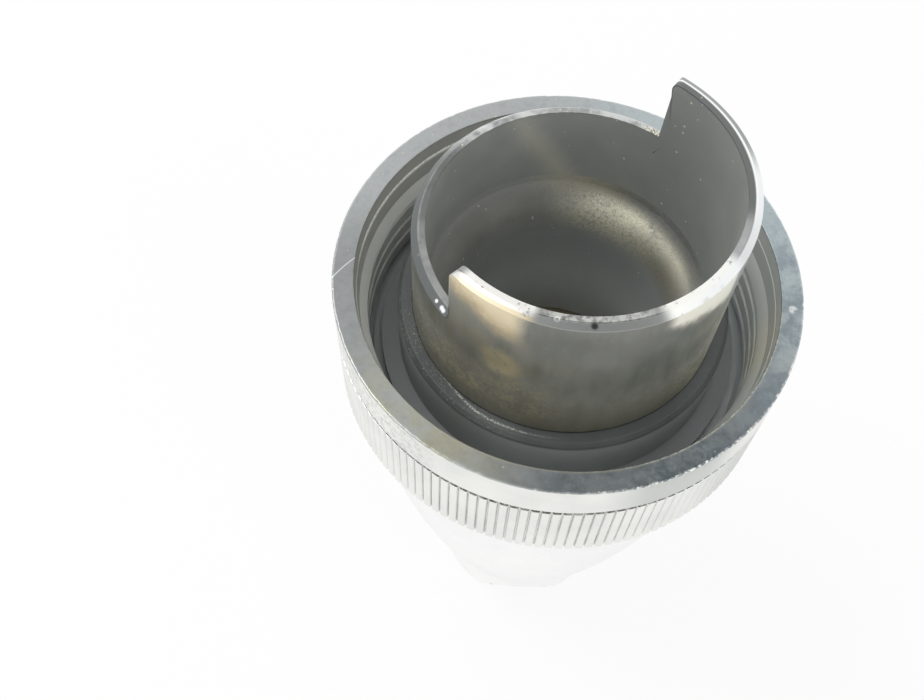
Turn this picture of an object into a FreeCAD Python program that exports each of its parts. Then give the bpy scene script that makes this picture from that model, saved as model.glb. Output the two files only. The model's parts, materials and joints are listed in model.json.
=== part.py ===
import FreeCAD, Part
import math
import os
import Sketcher

# Screw coupling at the camera end of a cable shutter release.
# The origin is on the axis, in the plane of the collar's rim. +Z points out of the mouth, towards the camera.
# Depths are measured down from the rim, so a piece at a depth has a negative z.

os.makedirs("parts", exist_ok=True)
doc = FreeCAD.newDocument("release_coupling")
sheet = doc.addObject("Spreadsheet::Sheet", "Sizes")

# Driving dimensions in millimetres, degrees or counts
SIZES = {
    # Screw collar
    "collar_outer_r": 11.0,
    "collar_length": 7.3,
    "collar_mouth_r": 9.97,
    "collar_mouth_taper": 0.15,
    "collar_mouth_depth": 1.76,
    "collar_lead_in": 0.64,
    "camera_thread_core_r": 9.46,
    "camera_thread_length": 3.0,
    "camera_thread_relief_r": 9.95,
    "collar_web": 1.2,
    "collar_edge_break": 0.15,
    "collar_foot_strip": 0.4,
    "collar_foot_step": 0.25,
    "collar_foot_bevel": 0.3,
    "collar_band": 2.25,
    "collar_groove_width": 0.3,
    "collar_groove_depth": 0.28,
    "knurl_count": 144,
    "knurl_depth": 0.18,
    "knurl_width": 0.17,
    # Stepped sleeve
    "sleeve_outer_r": 7.28,
    "sleeve_wall": 0.62,
    "sleeve_tall": 7.2,
    "sleeve_low": 3.6,
    "step_back_angle": 55,
    "step_front_angle": 222,
    "step_fillet": 0.45,
    "sleeve_seat_step": 0.04,
    "sleeve_relief": 0.2,
    "sleeve_relief_width": 0.6,
    "sleeve_lip_width": 0.35,
    "sleeve_lip_height": 0.45,
    "sleeve_foot_width": 0.7,
    "sleeve_foot_thick": 0.6,
    "key_pin_r": 0.5,
    "key_pin_depth": 3.6,
    # Tapered body
    "journal_wall": 0.74,
    "journal_top_depth": 1.9,
    "journal_bevel": 0.2,
    "sleeve_seat_depth": 7.0,
    "body_shoulder_r": 10.2,
    "body_shoulder_bevel": 0.15,
    "body_end_r": 5.3,
    "body_side_bow_r": 104,
    "guide_ledge_depth": 13.0,
    "spring_bore_r": 4.6,
    "plug_thread_r": 3.6,
    # Throat ring
    "throat_top_depth": 1.3,
    "throat_wall": 0.65,
    "throat_lip": 0.1,
    "throat_funnel_depth": 2.4,
    "throat_cove_r": 0.9,
    # Collar bearing
    "snap_ring_thick": 0.65,
    "snap_ring_width": 1.1,
    "snap_groove_depth": 0.28,
    "snap_ring_gap_angle": 28,
    "thrust_washer_thick": 0.3,
    "thrust_washer_r": 9.3,
    "friction_washer_thick": 0.25,
    "friction_washer_r": 9.9,
    # Plunger and its guide
    "plunger_r": 2.0,
    "plunger_stroke": 7.0,
    "plunger_top_depth": 9.0,
    "cap_r": 2.8,
    "cap_height": 2.1,
    "cap_crown": 0.35,
    "cap_spigot_r": 1.3,
    "cap_spigot_length": 1.4,
    "cap_pin_r": 0.35,
    "guide_flange_thick": 1.5,
    "guide_hub_r": 3.0,
    "guide_hub_length": 3.5,
    "inner_wire_r": 0.6,
    "inner_wire_hole": 3.0,
    # Return spring
    "spring_wire_r": 0.35,
    "spring_mean_r": 3.7,
    "spring_turns": 5,
    "spring_length": 12.0,
    "spring_washer_thick": 0.4,
    "follower_r": 4.4,
    "follower_thick": 0.8,
    "follower_hub_r": 2.9,
    "follower_hub_height": 1.2,
    "clip_thick": 0.45,
    "clip_r": 3.2,
    "clip_groove_r": 1.5,
    "clip_gap_angle": 70,
    "rod_foot": 0.4,
    "buffer_thick": 0.5,
    "buffer_clearance": 0.3,
    # Tail plug and its screws
    "plug_spigot_length": 3.05,
    "plug_flange_thick": 3.0,
    "plug_foot_bevel": 0.35,
    "plug_flat_half": 4.6,
    "plug_flat_height": 2.0,
    "cable_thread_core_r": 2.1,
    "cable_socket_length": 4.0,
    "wire_passage_r": 0.8,
    "grub_r": 0.8,
    "grub_height": 1.3,
    "grub_inset": 0.35,
    "lock_screw_r": 0.95,
    "lock_screw_length": 1.8,
    "slot_width": 0.3,
    "slot_depth": 0.4,
    # Clearances
    "running_fit": 0.06,
    "guide_fit": 0.04,
    "seat_fit": 0.02,
    "thread_fit": 0.05,
    "end_float": 0.04,
}
for row, (name, value) in enumerate(SIZES.items(), 1):
    sheet.set(f"A{row}", name)
    sheet.set(f"B{row}", str(value))
    sheet.setAlias(f"B{row}", name)

# Heights and radii that follow from the sizes, each in its own cell so that the pieces share it
STACK = {
    "thread_top": "collar_mouth_depth + collar_lead_in",
    "thread_end": "thread_top + camera_thread_length",
    "web_top": "collar_length - collar_web",
    "shoulder_depth": "collar_length + friction_washer_thick + 2 * end_float",
    "thrust_top": "web_top - end_float - thrust_washer_thick",
    "snap_bottom": "thrust_top - end_float",
    "snap_top": "snap_bottom - snap_ring_thick",
    "sleeve_inner_r": "sleeve_outer_r - sleeve_wall",
    "sleeve_seat_bore_r": "sleeve_outer_r - sleeve_seat_step + seat_fit",
    "journal_r": "sleeve_seat_bore_r + journal_wall",
    "web_bore_r": "journal_r + running_fit",
    "foot_top": "sleeve_seat_depth - sleeve_foot_thick",
    "foot_bore_r": "sleeve_inner_r - sleeve_foot_width",
    "clamp_thread_r": "foot_bore_r - running_fit",
    "clamp_r": "clamp_thread_r - thread_fit",
    "throat_bore_r": "clamp_r - throat_wall",
    "throat_outer_r": "sleeve_inner_r - running_fit",
    "throat_funnel_width": "throat_outer_r - throat_lip - throat_bore_r",
    "guide_top": "guide_ledge_depth - guide_flange_thick",
    "throat_end": "guide_top - seat_fit",
    "cap_bottom": "plunger_top_depth + cap_height",
    "guide_bore_r": "plunger_r + guide_fit",
    "spring_top": "guide_ledge_depth + spring_washer_thick + end_float",
    "spring_foot": "spring_top + spring_length",
    "follower_foot": "spring_foot + end_float + follower_thick",
    "clip_foot": "follower_foot + end_float + clip_thick",
    "rod_end": "clip_foot + rod_foot",
    "plug_top": "clip_foot + end_float + buffer_thick + end_float",
    "body_bore_end": "clip_foot + end_float",
    "buffer_bore_r": "plunger_r + buffer_clearance",
    "body_end_depth": "plug_top + plug_spigot_length",
    "foot_depth": "body_end_depth + plug_flange_thick",
    "grub_depth": "foot_depth - grub_height",
    "lock_screw_depth": "(plug_top + body_end_depth) / 2",
}
for row, (name, formula) in enumerate(STACK.items(), len(SIZES) + 1):
    sheet.set(f"A{row}", name)
    sheet.set(f"B{row}", "=" + formula)
    sheet.setAlias(f"B{row}", name)
doc.recompute()


# Shared ways of making a piece

def sized(formula):
    """The formula with every size name pointing at the sheet."""
    out = ""
    word = ""
    for letter in formula + " ":
        if letter.isalnum() or letter == "_":
            word += letter
            continue
        out += "Sizes." + word if word in SIZES or word in STACK else word
        out += letter
        word = ""
    return out.strip()


def value(formula):
    """The formula's number, in millimetres or degrees."""
    return float(sheet.evalExpression(sized(formula)))


def bind(thing, prop, formula):
    thing.setExpression(prop, sized(formula))


def new_body(label):
    body = doc.addObject("PartDesign::Body", label)
    body.Label = label
    return body


def origin_part(body, role):
    return next(f for f in body.Origin.OriginFeatures if f.Role == role)


def new_sketch(body, name, role, height=None):
    """A sketch on one of the body's origin planes, lifted off it by a height."""
    sketch = body.newObject("Sketcher::SketchObject", name)
    sketch.AttachmentSupport = (origin_part(body, role), "")
    sketch.MapMode = "FlatFace"
    if height:
        bind(sketch, "AttachmentOffset.Base.z", height)
    return sketch


def bowed_edge(start, end, radius, side):
    """The arc of this radius from start to end, bulging to the left (1) or right (-1) of the way it runs."""
    chord = end - start
    middle = (start + end) * 0.5
    left = FreeCAD.Vector(-chord.y, chord.x, 0).normalize()
    sagitta = radius - math.sqrt(radius ** 2 - (chord.Length / 2) ** 2)
    return Part.Arc(start, middle + left * (side * sagitta), end)


def outline(sketch, points, bows=None):
    """A closed outline. Each point is a pair of formulas; bows gives an edge a radius and a side."""
    bows = bows or {}
    spots = [FreeCAD.Vector(value(across), value(up), 0) for across, up in points]
    ends = []
    for index, spot in enumerate(spots):
        after = spots[(index + 1) % len(spots)]
        if index in bows:
            radius, side = bows[index]
            curve = bowed_edge(spot, after, value(radius), side)
        else:
            curve = Part.LineSegment(spot, after)
        edge = sketch.addGeometry(curve, False)
        turned_round = index in bows and (sketch.getPoint(edge, 1) - spot).Length > 1e-6
        ends.append((edge, 2, 1) if turned_round else (edge, 1, 2))
    for index, (edge, _, last) in enumerate(ends):
        next_edge, first, _ = ends[(index + 1) % len(ends)]
        sketch.addConstraint(Sketcher.Constraint("Coincident", edge, last, next_edge, first))
    for index, (radius, _) in bows.items():
        number = sketch.addConstraint(Sketcher.Constraint("Radius", ends[index][0], value(radius)))
        bind(sketch, f"Constraints[{number}]", radius)
    for (across, up), spot, (edge, first, _) in zip(points, spots, ends):
        for kind, formula, size in (("DistanceX", across, spot.x), ("DistanceY", up, spot.y)):
            number = sketch.addConstraint(Sketcher.Constraint(kind, -1, 1, edge, first, size))
            bind(sketch, f"Constraints[{number}]", formula)


def ring_outline(sketch, radius, across="0", up="0"):
    """A circle of a bound radius at a bound place."""
    centre = FreeCAD.Vector(value(across), value(up), 0)
    edge = sketch.addGeometry(Part.Circle(centre, FreeCAD.Vector(0, 0, 1), value(radius)), False)
    number = sketch.addConstraint(Sketcher.Constraint("Radius", edge, value(radius)))
    bind(sketch, f"Constraints[{number}]", radius)
    for kind, formula, size in (("DistanceX", across, centre.x), ("DistanceY", up, centre.y)):
        number = sketch.addConstraint(Sketcher.Constraint(kind, -1, 1, edge, 3, size))
        bind(sketch, f"Constraints[{number}]", formula)


def turn(body, name, points, bows=None, sweep="360", start=None, takes_away=False):
    """The section, radius by height, turned about the axis from its start angle, or cut away along that path."""
    sketch = new_sketch(body, name + "_section", "XZ_Plane")
    if start:
        sketch.AttachmentOffset = FreeCAD.Placement(
            FreeCAD.Vector(), FreeCAD.Rotation(FreeCAD.Vector(0, 1, 0), value(start)))
        bind(sketch, "AttachmentOffset.Rotation.Angle", start)
    outline(sketch, points, bows)
    before = body.Shape.Volume if takes_away else 0
    feature = body.newObject("PartDesign::Groove" if takes_away else "PartDesign::Revolution", name)
    feature.Profile = sketch
    feature.ReferenceAxis = (sketch, ["V_Axis"])
    bind(feature, "Angle", sweep)
    doc.recompute()
    if takes_away and body.Shape.Volume > before - 1e-4:
        raise ValueError(f"{body.Label}: {name} cuts nothing")
    return feature


def pocket(body, sketch, name, length=None, reverse=False, both_ways=False):
    """A cut from the sketch, and a check that it took something away."""
    before = body.Shape.Volume
    feature = body.newObject("PartDesign::Pocket", name)
    feature.Profile = sketch
    feature.Reversed = reverse
    feature.Midplane = both_ways
    if length:
        feature.Type = "Length"
        bind(feature, "Length", length)
    else:
        feature.Type = "ThroughAll"
    doc.recompute()
    if body.Shape.Volume > before - 1e-4:
        raise ValueError(f"{body.Label}: {name} cuts nothing")
    return feature


def edges_where(shape, test):
    return [f"Edge{n}" for n, edge in enumerate(shape.Edges, 1) if test(edge)]


def washer(label, inner, outer, thick, depth):
    """A flat washer whose upper face is at a depth."""
    disc = doc.addObject("Part::Cylinder", label + "_disc")
    bind(disc, "Radius", outer)
    bind(disc, "Height", thick)
    hole = doc.addObject("Part::Cylinder", label + "_hole")
    bind(hole, "Radius", inner)
    bind(hole, "Height", thick)
    piece = doc.addObject("Part::Cut", label)
    piece.Label = label
    piece.Base = disc
    piece.Tool = hole
    bind(piece, "Placement.Base.z", f"-({depth}) - ({thick})")
    return piece


# Screw collar: captive ring that draws the coupling onto the camera

def make_screw_collar():
    body = new_body("screw_collar")
    section = [
        ("collar_mouth_r", "0"),
        ("collar_mouth_r - collar_mouth_taper", "-collar_mouth_depth"),
        ("camera_thread_core_r", "-thread_top"),
        ("camera_thread_core_r", "-thread_end"),
        ("camera_thread_relief_r", "-thread_end"),
        ("camera_thread_relief_r", "-web_top"),
        ("web_bore_r", "-web_top"),
        ("web_bore_r", "-collar_length"),
        ("collar_outer_r - collar_foot_step - collar_foot_bevel", "-collar_length"),
        ("collar_outer_r - collar_foot_step", "collar_foot_strip - collar_length"),
        ("collar_outer_r", "collar_foot_strip - collar_length"),
        ("collar_outer_r", "-collar_band - collar_groove_width"),
        ("collar_outer_r - collar_groove_depth", "-collar_band - collar_groove_width"),
        ("collar_outer_r - collar_groove_depth", "-collar_band - 0.2 * collar_groove_width"),
        ("collar_outer_r", "-collar_band"),
        ("collar_outer_r", "-collar_edge_break"),
        ("collar_outer_r - collar_edge_break", "0"),
    ]
    turned = turn(body, "collar_turned", section)
    # One groove of the coin edge, cut down from the turned groove and patterned round the ring
    cutter = new_sketch(body, "knurl_cutter", "XY_Plane", "-collar_band - 0.5 * collar_groove_width")
    outline(cutter, [
        ("collar_outer_r - knurl_depth", "0"),
        ("collar_outer_r + knurl_depth", "-knurl_width"),
        ("collar_outer_r + knurl_depth", "knurl_width"),
    ])
    groove = pocket(body, cutter, "knurl_groove", length="collar_length")
    knurl = body.newObject("PartDesign::PolarPattern", "knurl")
    knurl.Originals = [groove]
    knurl.Axis = (origin_part(body, "Z_Axis"), [""])
    knurl.Angle = 360
    bind(knurl, "Occurrences", "knurl_count")
    body.Tip = knurl
    doc.recompute()
    one = turned.Shape.Volume - groove.Shape.Volume
    if turned.Shape.Volume - body.Shape.Volume < 0.98 * one * value("knurl_count"):
        raise ValueError("the knurl isn't complete")
    return body


# Stepped sleeve: thin tube with a foot flange, milled down over less than half of its circle

def make_stepped_sleeve():
    body = new_body("stepped_sleeve")
    # A turned relief inside ends the bore at the throat ring, and one outside ends the wall at the journal
    inner_relief_top = "sleeve_relief_width / 4 - throat_top_depth"
    outer_relief_top = "end_float - journal_top_depth"
    turn(body, "sleeve_turned", [
        ("sleeve_inner_r", inner_relief_top),
        ("sleeve_inner_r", "sleeve_tall"),
        ("sleeve_outer_r", "sleeve_tall"),
        ("sleeve_outer_r", outer_relief_top),
        ("sleeve_outer_r - sleeve_relief", outer_relief_top),
        ("sleeve_outer_r - sleeve_relief", f"{outer_relief_top} - sleeve_relief_width"),
        ("sleeve_outer_r - sleeve_seat_step", f"{outer_relief_top} - sleeve_relief_width"),
        ("sleeve_outer_r - sleeve_seat_step", "-sleeve_seat_depth"),
        ("foot_bore_r", "-sleeve_seat_depth"),
        ("foot_bore_r", "-foot_top"),
        ("sleeve_inner_r", "-foot_top"),
        ("sleeve_inner_r", f"{inner_relief_top} - sleeve_relief_width"),
        ("sleeve_inner_r + sleeve_relief", f"{inner_relief_top} - sleeve_relief_width"),
        ("sleeve_inner_r + sleeve_relief", inner_relief_top),
    ])
    reach = "2 * sleeve_outer_r"
    middle = "(step_back_angle + step_front_angle) / 2"
    cutter = new_sketch(body, "step_cutter", "XY_Plane", "sleeve_low")
    outline(cutter, [
        ("0", "0"),
        (f"{reach} * cos(step_back_angle * 1 deg)", f"{reach} * sin(step_back_angle * 1 deg)"),
        (f"{reach} * cos({middle} * 1 deg)", f"{reach} * sin({middle} * 1 deg)"),
        (f"{reach} * cos(step_front_angle * 1 deg)", f"{reach} * sin(step_front_angle * 1 deg)"),
    ])
    step = pocket(body, cutter, "step", length="sleeve_tall", reverse=True)
    corners = body.newObject("PartDesign::Fillet", "step_corners")
    low = value("sleeve_low")
    tall = value("sleeve_tall")

    def is_corner(edge):
        """A short straight edge across the wall, at the foot of a step."""
        heights = [vertex.Z for vertex in edge.Vertexes]
        return max(abs(h - low) for h in heights) < 1e-4 and edge.Length < 2 * value("sleeve_wall")

    corners.Base = (step, edges_where(step.Shape, is_corner))
    bind(corners, "Radius", "step_fillet")
    doc.recompute()
    tips = body.newObject("PartDesign::Fillet", "step_tips")

    def is_tip(edge):
        """The same kind of edge at the top of a step."""
        heights = [vertex.Z for vertex in edge.Vertexes]
        return max(abs(h - tall) for h in heights) < 1e-4 and edge.Length < 2 * value("sleeve_wall")

    tips.Base = (corners, edges_where(corners.Shape, is_tip))
    bind(tips, "Radius", "step_fillet / 2")
    doc.recompute()

    def lip_cutter(height):
        """A section whose long side takes the lip's outer corner off, and which clears the wall elsewhere."""
        return [
            ("sleeve_outer_r - 2 * sleeve_lip_width", f"{height} + sleeve_lip_height"),
            ("sleeve_outer_r + sleeve_lip_width", f"{height} - 2 * sleeve_lip_height"),
            ("sleeve_outer_r + sleeve_lip_width", f"{height} + sleeve_lip_height"),
        ]

    corner_angle = "step_fillet / sleeve_outer_r * 180 / pi"
    turn(body, "tall_lip", lip_cutter("sleeve_tall"), takes_away=True)
    turn(body, "low_lip", lip_cutter("sleeve_low"), start=f"step_back_angle + {corner_angle}",
         sweep=f"step_front_angle - step_back_angle - 2 * {corner_angle}", takes_away=True)
    hole = new_sketch(body, "key_hole_circle", "XZ_Plane")
    ring_outline(hole, "key_pin_r + seat_fit", "0", "-key_pin_depth")
    pocket(body, hole, "key_hole")
    return body


# Tapered body: turned shell that carries the collar on its journal and the working parts in its bore

def make_tapered_body():
    body = new_body("tapered_body")
    turn(body, "body_turned", [
        ("sleeve_seat_bore_r", "-journal_top_depth"),
        ("journal_r - journal_bevel", "-journal_top_depth"),
        ("journal_r", "-journal_top_depth - journal_bevel"),
        ("journal_r", "end_float - snap_top"),
        ("journal_r - snap_groove_depth", "end_float - snap_top"),
        ("journal_r - snap_groove_depth", "-snap_bottom - end_float"),
        ("journal_r", "-snap_bottom - end_float"),
        ("journal_r", "-shoulder_depth"),
        ("body_shoulder_r - body_shoulder_bevel", "-shoulder_depth"),
        ("body_shoulder_r", "-shoulder_depth - body_shoulder_bevel"),
        ("body_end_r", "-body_end_depth"),
        ("plug_thread_r + thread_fit", "-body_end_depth"),
        ("plug_thread_r + thread_fit", "-body_bore_end"),
        ("spring_bore_r", "-body_bore_end"),
        ("spring_bore_r", "-guide_ledge_depth"),
        ("clamp_thread_r", "-guide_ledge_depth"),
        ("clamp_thread_r", "-sleeve_seat_depth - seat_fit"),
        ("sleeve_seat_bore_r", "-sleeve_seat_depth - seat_fit"),
    ], bows={9: ("body_side_bow_r", 1)})
    hole = new_sketch(body, "key_hole_circle", "XZ_Plane")
    ring_outline(hole, "key_pin_r + seat_fit", "0", "-key_pin_depth")
    pocket(body, hole, "key_hole")
    lock = new_sketch(body, "lock_hole_circle", "XZ_Plane")
    ring_outline(lock, "lock_screw_r + thread_fit", "0", "-lock_screw_depth")
    pocket(body, lock, "lock_hole")
    return body


# Throat ring: rounded funnel that screws into the body and clamps the sleeve's foot

def make_throat_ring():
    body = new_body("throat_ring")
    # The funnel is a cove at the top and a round below it, which meet smoothly
    square = "(throat_funnel_width ^ 2 + throat_funnel_depth ^ 2)"
    both_radii = f"{square} / (2 * throat_funnel_width)"
    cove_width = f"2 * throat_cove_r * throat_funnel_width ^ 2 / {square}"
    cove_depth = f"2 * throat_cove_r * throat_funnel_width * throat_funnel_depth / {square}"
    turn(body, "throat_turned", [
        ("throat_bore_r", "-throat_end"),
        ("clamp_r", "-throat_end"),
        ("clamp_r", "seat_fit - foot_top"),
        ("throat_outer_r", "seat_fit - foot_top"),
        ("throat_outer_r", "-throat_top_depth"),
        ("throat_outer_r - throat_lip", "-throat_top_depth"),
        (f"throat_outer_r - throat_lip - {cove_width}", f"-throat_top_depth - {cove_depth}"),
        ("throat_bore_r", "-throat_top_depth - throat_funnel_depth"),
    ], bows={5: ("throat_cove_r", 1), 6: (f"{both_radii} - throat_cove_r", -1)})
    return body


# Collar bearing: a split ring in the journal's groove and a washer on each side of the collar's web

def make_collar_snap_ring():
    body = new_body("collar_snap_ring")
    inner = "journal_r - snap_groove_depth + thread_fit"
    turn(body, "snap_ring_turned", [
        (inner, "-snap_bottom"),
        (f"{inner} + snap_ring_width", "-snap_bottom"),
        (f"{inner} + snap_ring_width", "-snap_top"),
        (inner, "-snap_top"),
    ], start="90 + snap_ring_gap_angle / 2", sweep="360 - snap_ring_gap_angle")
    return body


def make_collar_washers():
    thrust = washer("collar_thrust_washer", "web_bore_r", "thrust_washer_r", "thrust_washer_thick", "thrust_top")
    friction = washer("collar_friction_washer", "web_bore_r", "friction_washer_r",
                      "friction_washer_thick", "collar_length + end_float")
    return [thrust, friction]


# Key pin: dowel through the journal and the sleeve, on the +Y side

def make_sleeve_key_pin():
    inner = "sleeve_inner_r + seat_fit"
    pin = doc.addObject("Part::Cylinder", "sleeve_key_pin")
    pin.Label = "sleeve_key_pin"
    bind(pin, "Radius", "key_pin_r")
    bind(pin, "Height", f"journal_r - ({inner})")
    pin.Placement.Rotation = FreeCAD.Rotation(FreeCAD.Vector(1, 0, 0), -90)
    bind(pin, "Placement.Base.y", inner)
    bind(pin, "Placement.Base.z", "-key_pin_depth")
    return pin


# Plunger guide: flanged bush on the body's ledge

def make_guide_bush():
    body = new_body("guide_bush")
    turn(body, "guide_turned", [
        ("guide_bore_r", "-guide_top"),
        ("clamp_r", "-guide_top"),
        ("clamp_r", "-guide_ledge_depth"),
        ("guide_hub_r", "-guide_ledge_depth"),
        ("guide_hub_r", "-guide_ledge_depth - guide_hub_length"),
        ("guide_bore_r", "-guide_ledge_depth - guide_hub_length"),
    ])
    return body


# Plunger: rod, crowned cap, cross pin, spring follower and clip

def make_plunger_rod():
    body = new_body("plunger_rod")
    spigot_top = "cap_spigot_length - cap_bottom"
    turn(body, "rod_turned", [
        ("0", spigot_top),
        ("cap_spigot_r", spigot_top),
        ("cap_spigot_r", "-cap_bottom"),
        ("plunger_r", "-cap_bottom"),
        ("plunger_r", "-follower_foot"),
        ("clip_groove_r", "-follower_foot"),
        ("clip_groove_r", "-clip_foot - end_float / 2"),
        ("plunger_r", "-clip_foot - end_float / 2"),
        ("plunger_r", "-rod_end"),
        ("inner_wire_r", "-rod_end"),
        ("inner_wire_r", "inner_wire_hole - rod_end"),
        ("0", "inner_wire_hole - rod_end"),
    ])
    cross_hole(body, "cap_spigot_r")
    return body


def cross_hole(body, reach):
    """The hole for the cap's cross pin, along X."""
    hole = new_sketch(body, "pin_hole_circle", "YZ_Plane")
    ring_outline(hole, "cap_pin_r + seat_fit", "0", "cap_spigot_length / 2 - cap_bottom")
    pocket(body, hole, "pin_hole", length=f"4 * ({reach})", both_ways=True)


def make_plunger_cap():
    body = new_body("plunger_cap")
    crown_radius = "(cap_r ^ 2 + cap_crown ^ 2) / (2 * cap_crown)"
    turn(body, "cap_turned", [
        ("0", "-plunger_top_depth"),
        ("0", "cap_spigot_length + seat_fit - cap_bottom"),
        ("cap_spigot_r + seat_fit", "cap_spigot_length + seat_fit - cap_bottom"),
        ("cap_spigot_r + seat_fit", "seat_fit - cap_bottom"),
        ("cap_r", "seat_fit - cap_bottom"),
        ("cap_r", "-plunger_top_depth - cap_crown"),
    ], bows={5: (crown_radius, -1)})
    cross_hole(body, "cap_r")
    return body


def make_cap_pin():
    pin = doc.addObject("Part::Cylinder", "cap_pin")
    pin.Label = "cap_pin"
    reach = "cap_r - seat_fit"
    bind(pin, "Radius", "cap_pin_r")
    bind(pin, "Height", f"2 * ({reach})")
    pin.Placement.Rotation = FreeCAD.Rotation(FreeCAD.Vector(0, 1, 0), 90)
    bind(pin, "Placement.Base.x", f"-({reach})")
    bind(pin, "Placement.Base.z", "cap_spigot_length / 2 - cap_bottom")
    return pin


def make_spring_follower():
    body = new_body("spring_follower")
    flange_top = "follower_foot - follower_thick"
    turn(body, "follower_turned", [
        ("plunger_r + seat_fit", "-follower_foot"),
        ("follower_r", "-follower_foot"),
        ("follower_r", f"-({flange_top})"),
        ("follower_hub_r", f"-({flange_top})"),
        ("follower_hub_r", f"follower_hub_height - ({flange_top})"),
        ("plunger_r + seat_fit", f"follower_hub_height - ({flange_top})"),
    ])
    return body


def make_stop_clip():
    body = new_body("stop_clip")
    turn(body, "clip_turned", [
        ("clip_groove_r + seat_fit", "-clip_foot"),
        ("clip_r", "-clip_foot"),
        ("clip_r", "clip_thick - clip_foot"),
        ("clip_groove_r + seat_fit", "clip_thick - clip_foot"),
    ], sweep="360 - clip_gap_angle")
    return body


# Seats at the two ends of the plunger's travel

def make_seats():
    top = washer("spring_top_washer", "guide_hub_r + running_fit", "spring_bore_r - running_fit",
                 "spring_washer_thick", "guide_ledge_depth + seat_fit")
    buffer = washer("fibre_buffer", "buffer_bore_r", "plug_thread_r", "buffer_thick", "body_bore_end")
    return [top, buffer]


# Return spring: one unbroken round wire, wound as tangent arcs, two to each half turn

def helix_point(angle, radius, rise):
    return FreeCAD.Vector(radius * math.cos(angle), radius * math.sin(angle), rise * angle / (2 * math.pi))


def helix_heading(angle, radius, rise):
    slope = rise / (2 * math.pi)
    return FreeCAD.Vector(-radius * math.sin(angle), radius * math.cos(angle), slope).normalize()


def arc_between(start, knee, end):
    """The arc that leaves start and reaches end along the lines to their common knee."""
    middle = (start + end) * 0.5
    weight = (end - start).Length / 2 / (knee - start).Length
    return Part.Arc(start, (middle + knee * weight) * (1 / (1 + weight)), end).toShape()


def biarc(start, start_way, end, end_way):
    """Two arcs that meet smoothly and keep the headings at both ends."""
    gap = end - start
    ways = start_way + end_way
    turn_left = 2 * (1 - start_way.dot(end_way))
    along = gap.dot(ways)
    reach = (math.sqrt(along ** 2 + turn_left * gap.dot(gap)) - along) / turn_left
    first_knee = start + start_way * reach
    last_knee = end - end_way * reach
    joint = (first_knee + last_knee) * 0.5
    return [arc_between(start, first_knee, joint), arc_between(joint, last_knee, end)]


def make_return_spring():
    wire_r = value("spring_wire_r")
    mean_r = value("spring_mean_r")
    turns = value("spring_turns")
    rise = (value("spring_length") - 2 * wire_r) / turns
    half_turns = [n * math.pi for n in range(round(2 * turns) + 1)]
    edges = []
    for here, there in zip(half_turns, half_turns[1:]):
        edges += biarc(helix_point(here, mean_r, rise), helix_heading(here, mean_r, rise),
                       helix_point(there, mean_r, rise), helix_heading(there, mean_r, rise))
    path = Part.Wire(edges)
    rim = Part.Circle(helix_point(0, mean_r, rise), helix_heading(0, mean_r, rise), wire_r)
    tube = Part.BRepOffsetAPI.MakePipeShell(path)
    tube.add(Part.Wire([rim.toShape()]))
    tube.build()
    tube.makeSolid()
    spring = doc.addObject("Part::Feature", "return_spring")
    spring.Label = "return_spring"
    spring.Shape = tube.shape()
    foot = wire_r - value("spring_foot")
    spring.Placement = FreeCAD.Placement(FreeCAD.Vector(0, 0, foot), FreeCAD.Rotation())
    dots = [helix_point(n * math.pi / 24, mean_r, rise) for n in range(round(48 * turns) + 1)]
    apart = min((a - b).Length for n, a in enumerate(dots) for b in dots[n + 36:])
    print(f"return_spring: least gap to itself {apart - 2 * wire_r:.2f} mm")
    expected = math.pi * wire_r ** 2 * path.Length
    print(f"return_spring: volume {spring.Shape.Volume:.3f}, section times length {expected:.3f}")
    return spring


# Tail plug: screwed foot with the cable's socket, two spanner flats and two grub screw holes

def make_tail_plug():
    body = new_body("tail_plug")
    turned = turn(body, "plug_turned", [
        ("wire_passage_r", "-plug_top"),
        ("plug_thread_r", "-plug_top"),
        ("plug_thread_r", "-body_end_depth"),
        ("body_end_r", "-body_end_depth"),
        ("body_end_r", "plug_foot_bevel - foot_depth"),
        ("body_end_r - plug_foot_bevel", "-foot_depth"),
        ("cable_thread_core_r", "-foot_depth"),
        ("cable_thread_core_r", "cable_socket_length - foot_depth"),
        ("wire_passage_r", "cable_socket_length - foot_depth"),
    ])
    flat = new_sketch(body, "flat_cutter", "XY_Plane", "plug_flat_height - foot_depth")
    outline(flat, [
        ("-body_end_r", "plug_flat_half"),
        ("body_end_r", "plug_flat_half"),
        ("body_end_r", "2 * body_end_r"),
        ("-body_end_r", "2 * body_end_r"),
    ])
    one = pocket(body, flat, "spanner_flat", length="plug_flat_height + plug_foot_bevel")
    flats = body.newObject("PartDesign::PolarPattern", "spanner_flats")
    flats.Originals = [one]
    flats.Axis = (origin_part(body, "Z_Axis"), [""])
    flats.Angle = 360
    flats.Occurrences = 2
    body.Tip = flats
    doc.recompute()
    if turned.Shape.Volume - body.Shape.Volume < 1.9 * (turned.Shape.Volume - one.Shape.Volume):
        raise ValueError("the second spanner flat is missing")
    holes = new_sketch(body, "grub_circle", "YZ_Plane")
    ring_outline(holes, "grub_r + thread_fit", "0", "-grub_depth")
    pocket(body, holes, "grub_holes", length="3 * body_end_r", both_ways=True)
    return body


def slotted_screw(label, radius, length):
    """A headless screw along +Z with a slot across its outer end."""
    shank = doc.addObject("Part::Cylinder", label + "_shank")
    bind(shank, "Radius", radius)
    bind(shank, "Height", length)
    slot = doc.addObject("Part::Box", label + "_slot")
    bind(slot, "Length", f"4 * ({radius})")
    bind(slot, "Width", "slot_width")
    bind(slot, "Height", "2 * slot_depth")
    bind(slot, "Placement.Base.x", f"-2 * ({radius})")
    bind(slot, "Placement.Base.y", "-slot_width / 2")
    bind(slot, "Placement.Base.z", f"{length} - slot_depth")
    screw = doc.addObject("Part::Cut", label)
    screw.Base = shank
    screw.Tool = slot
    return screw


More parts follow.
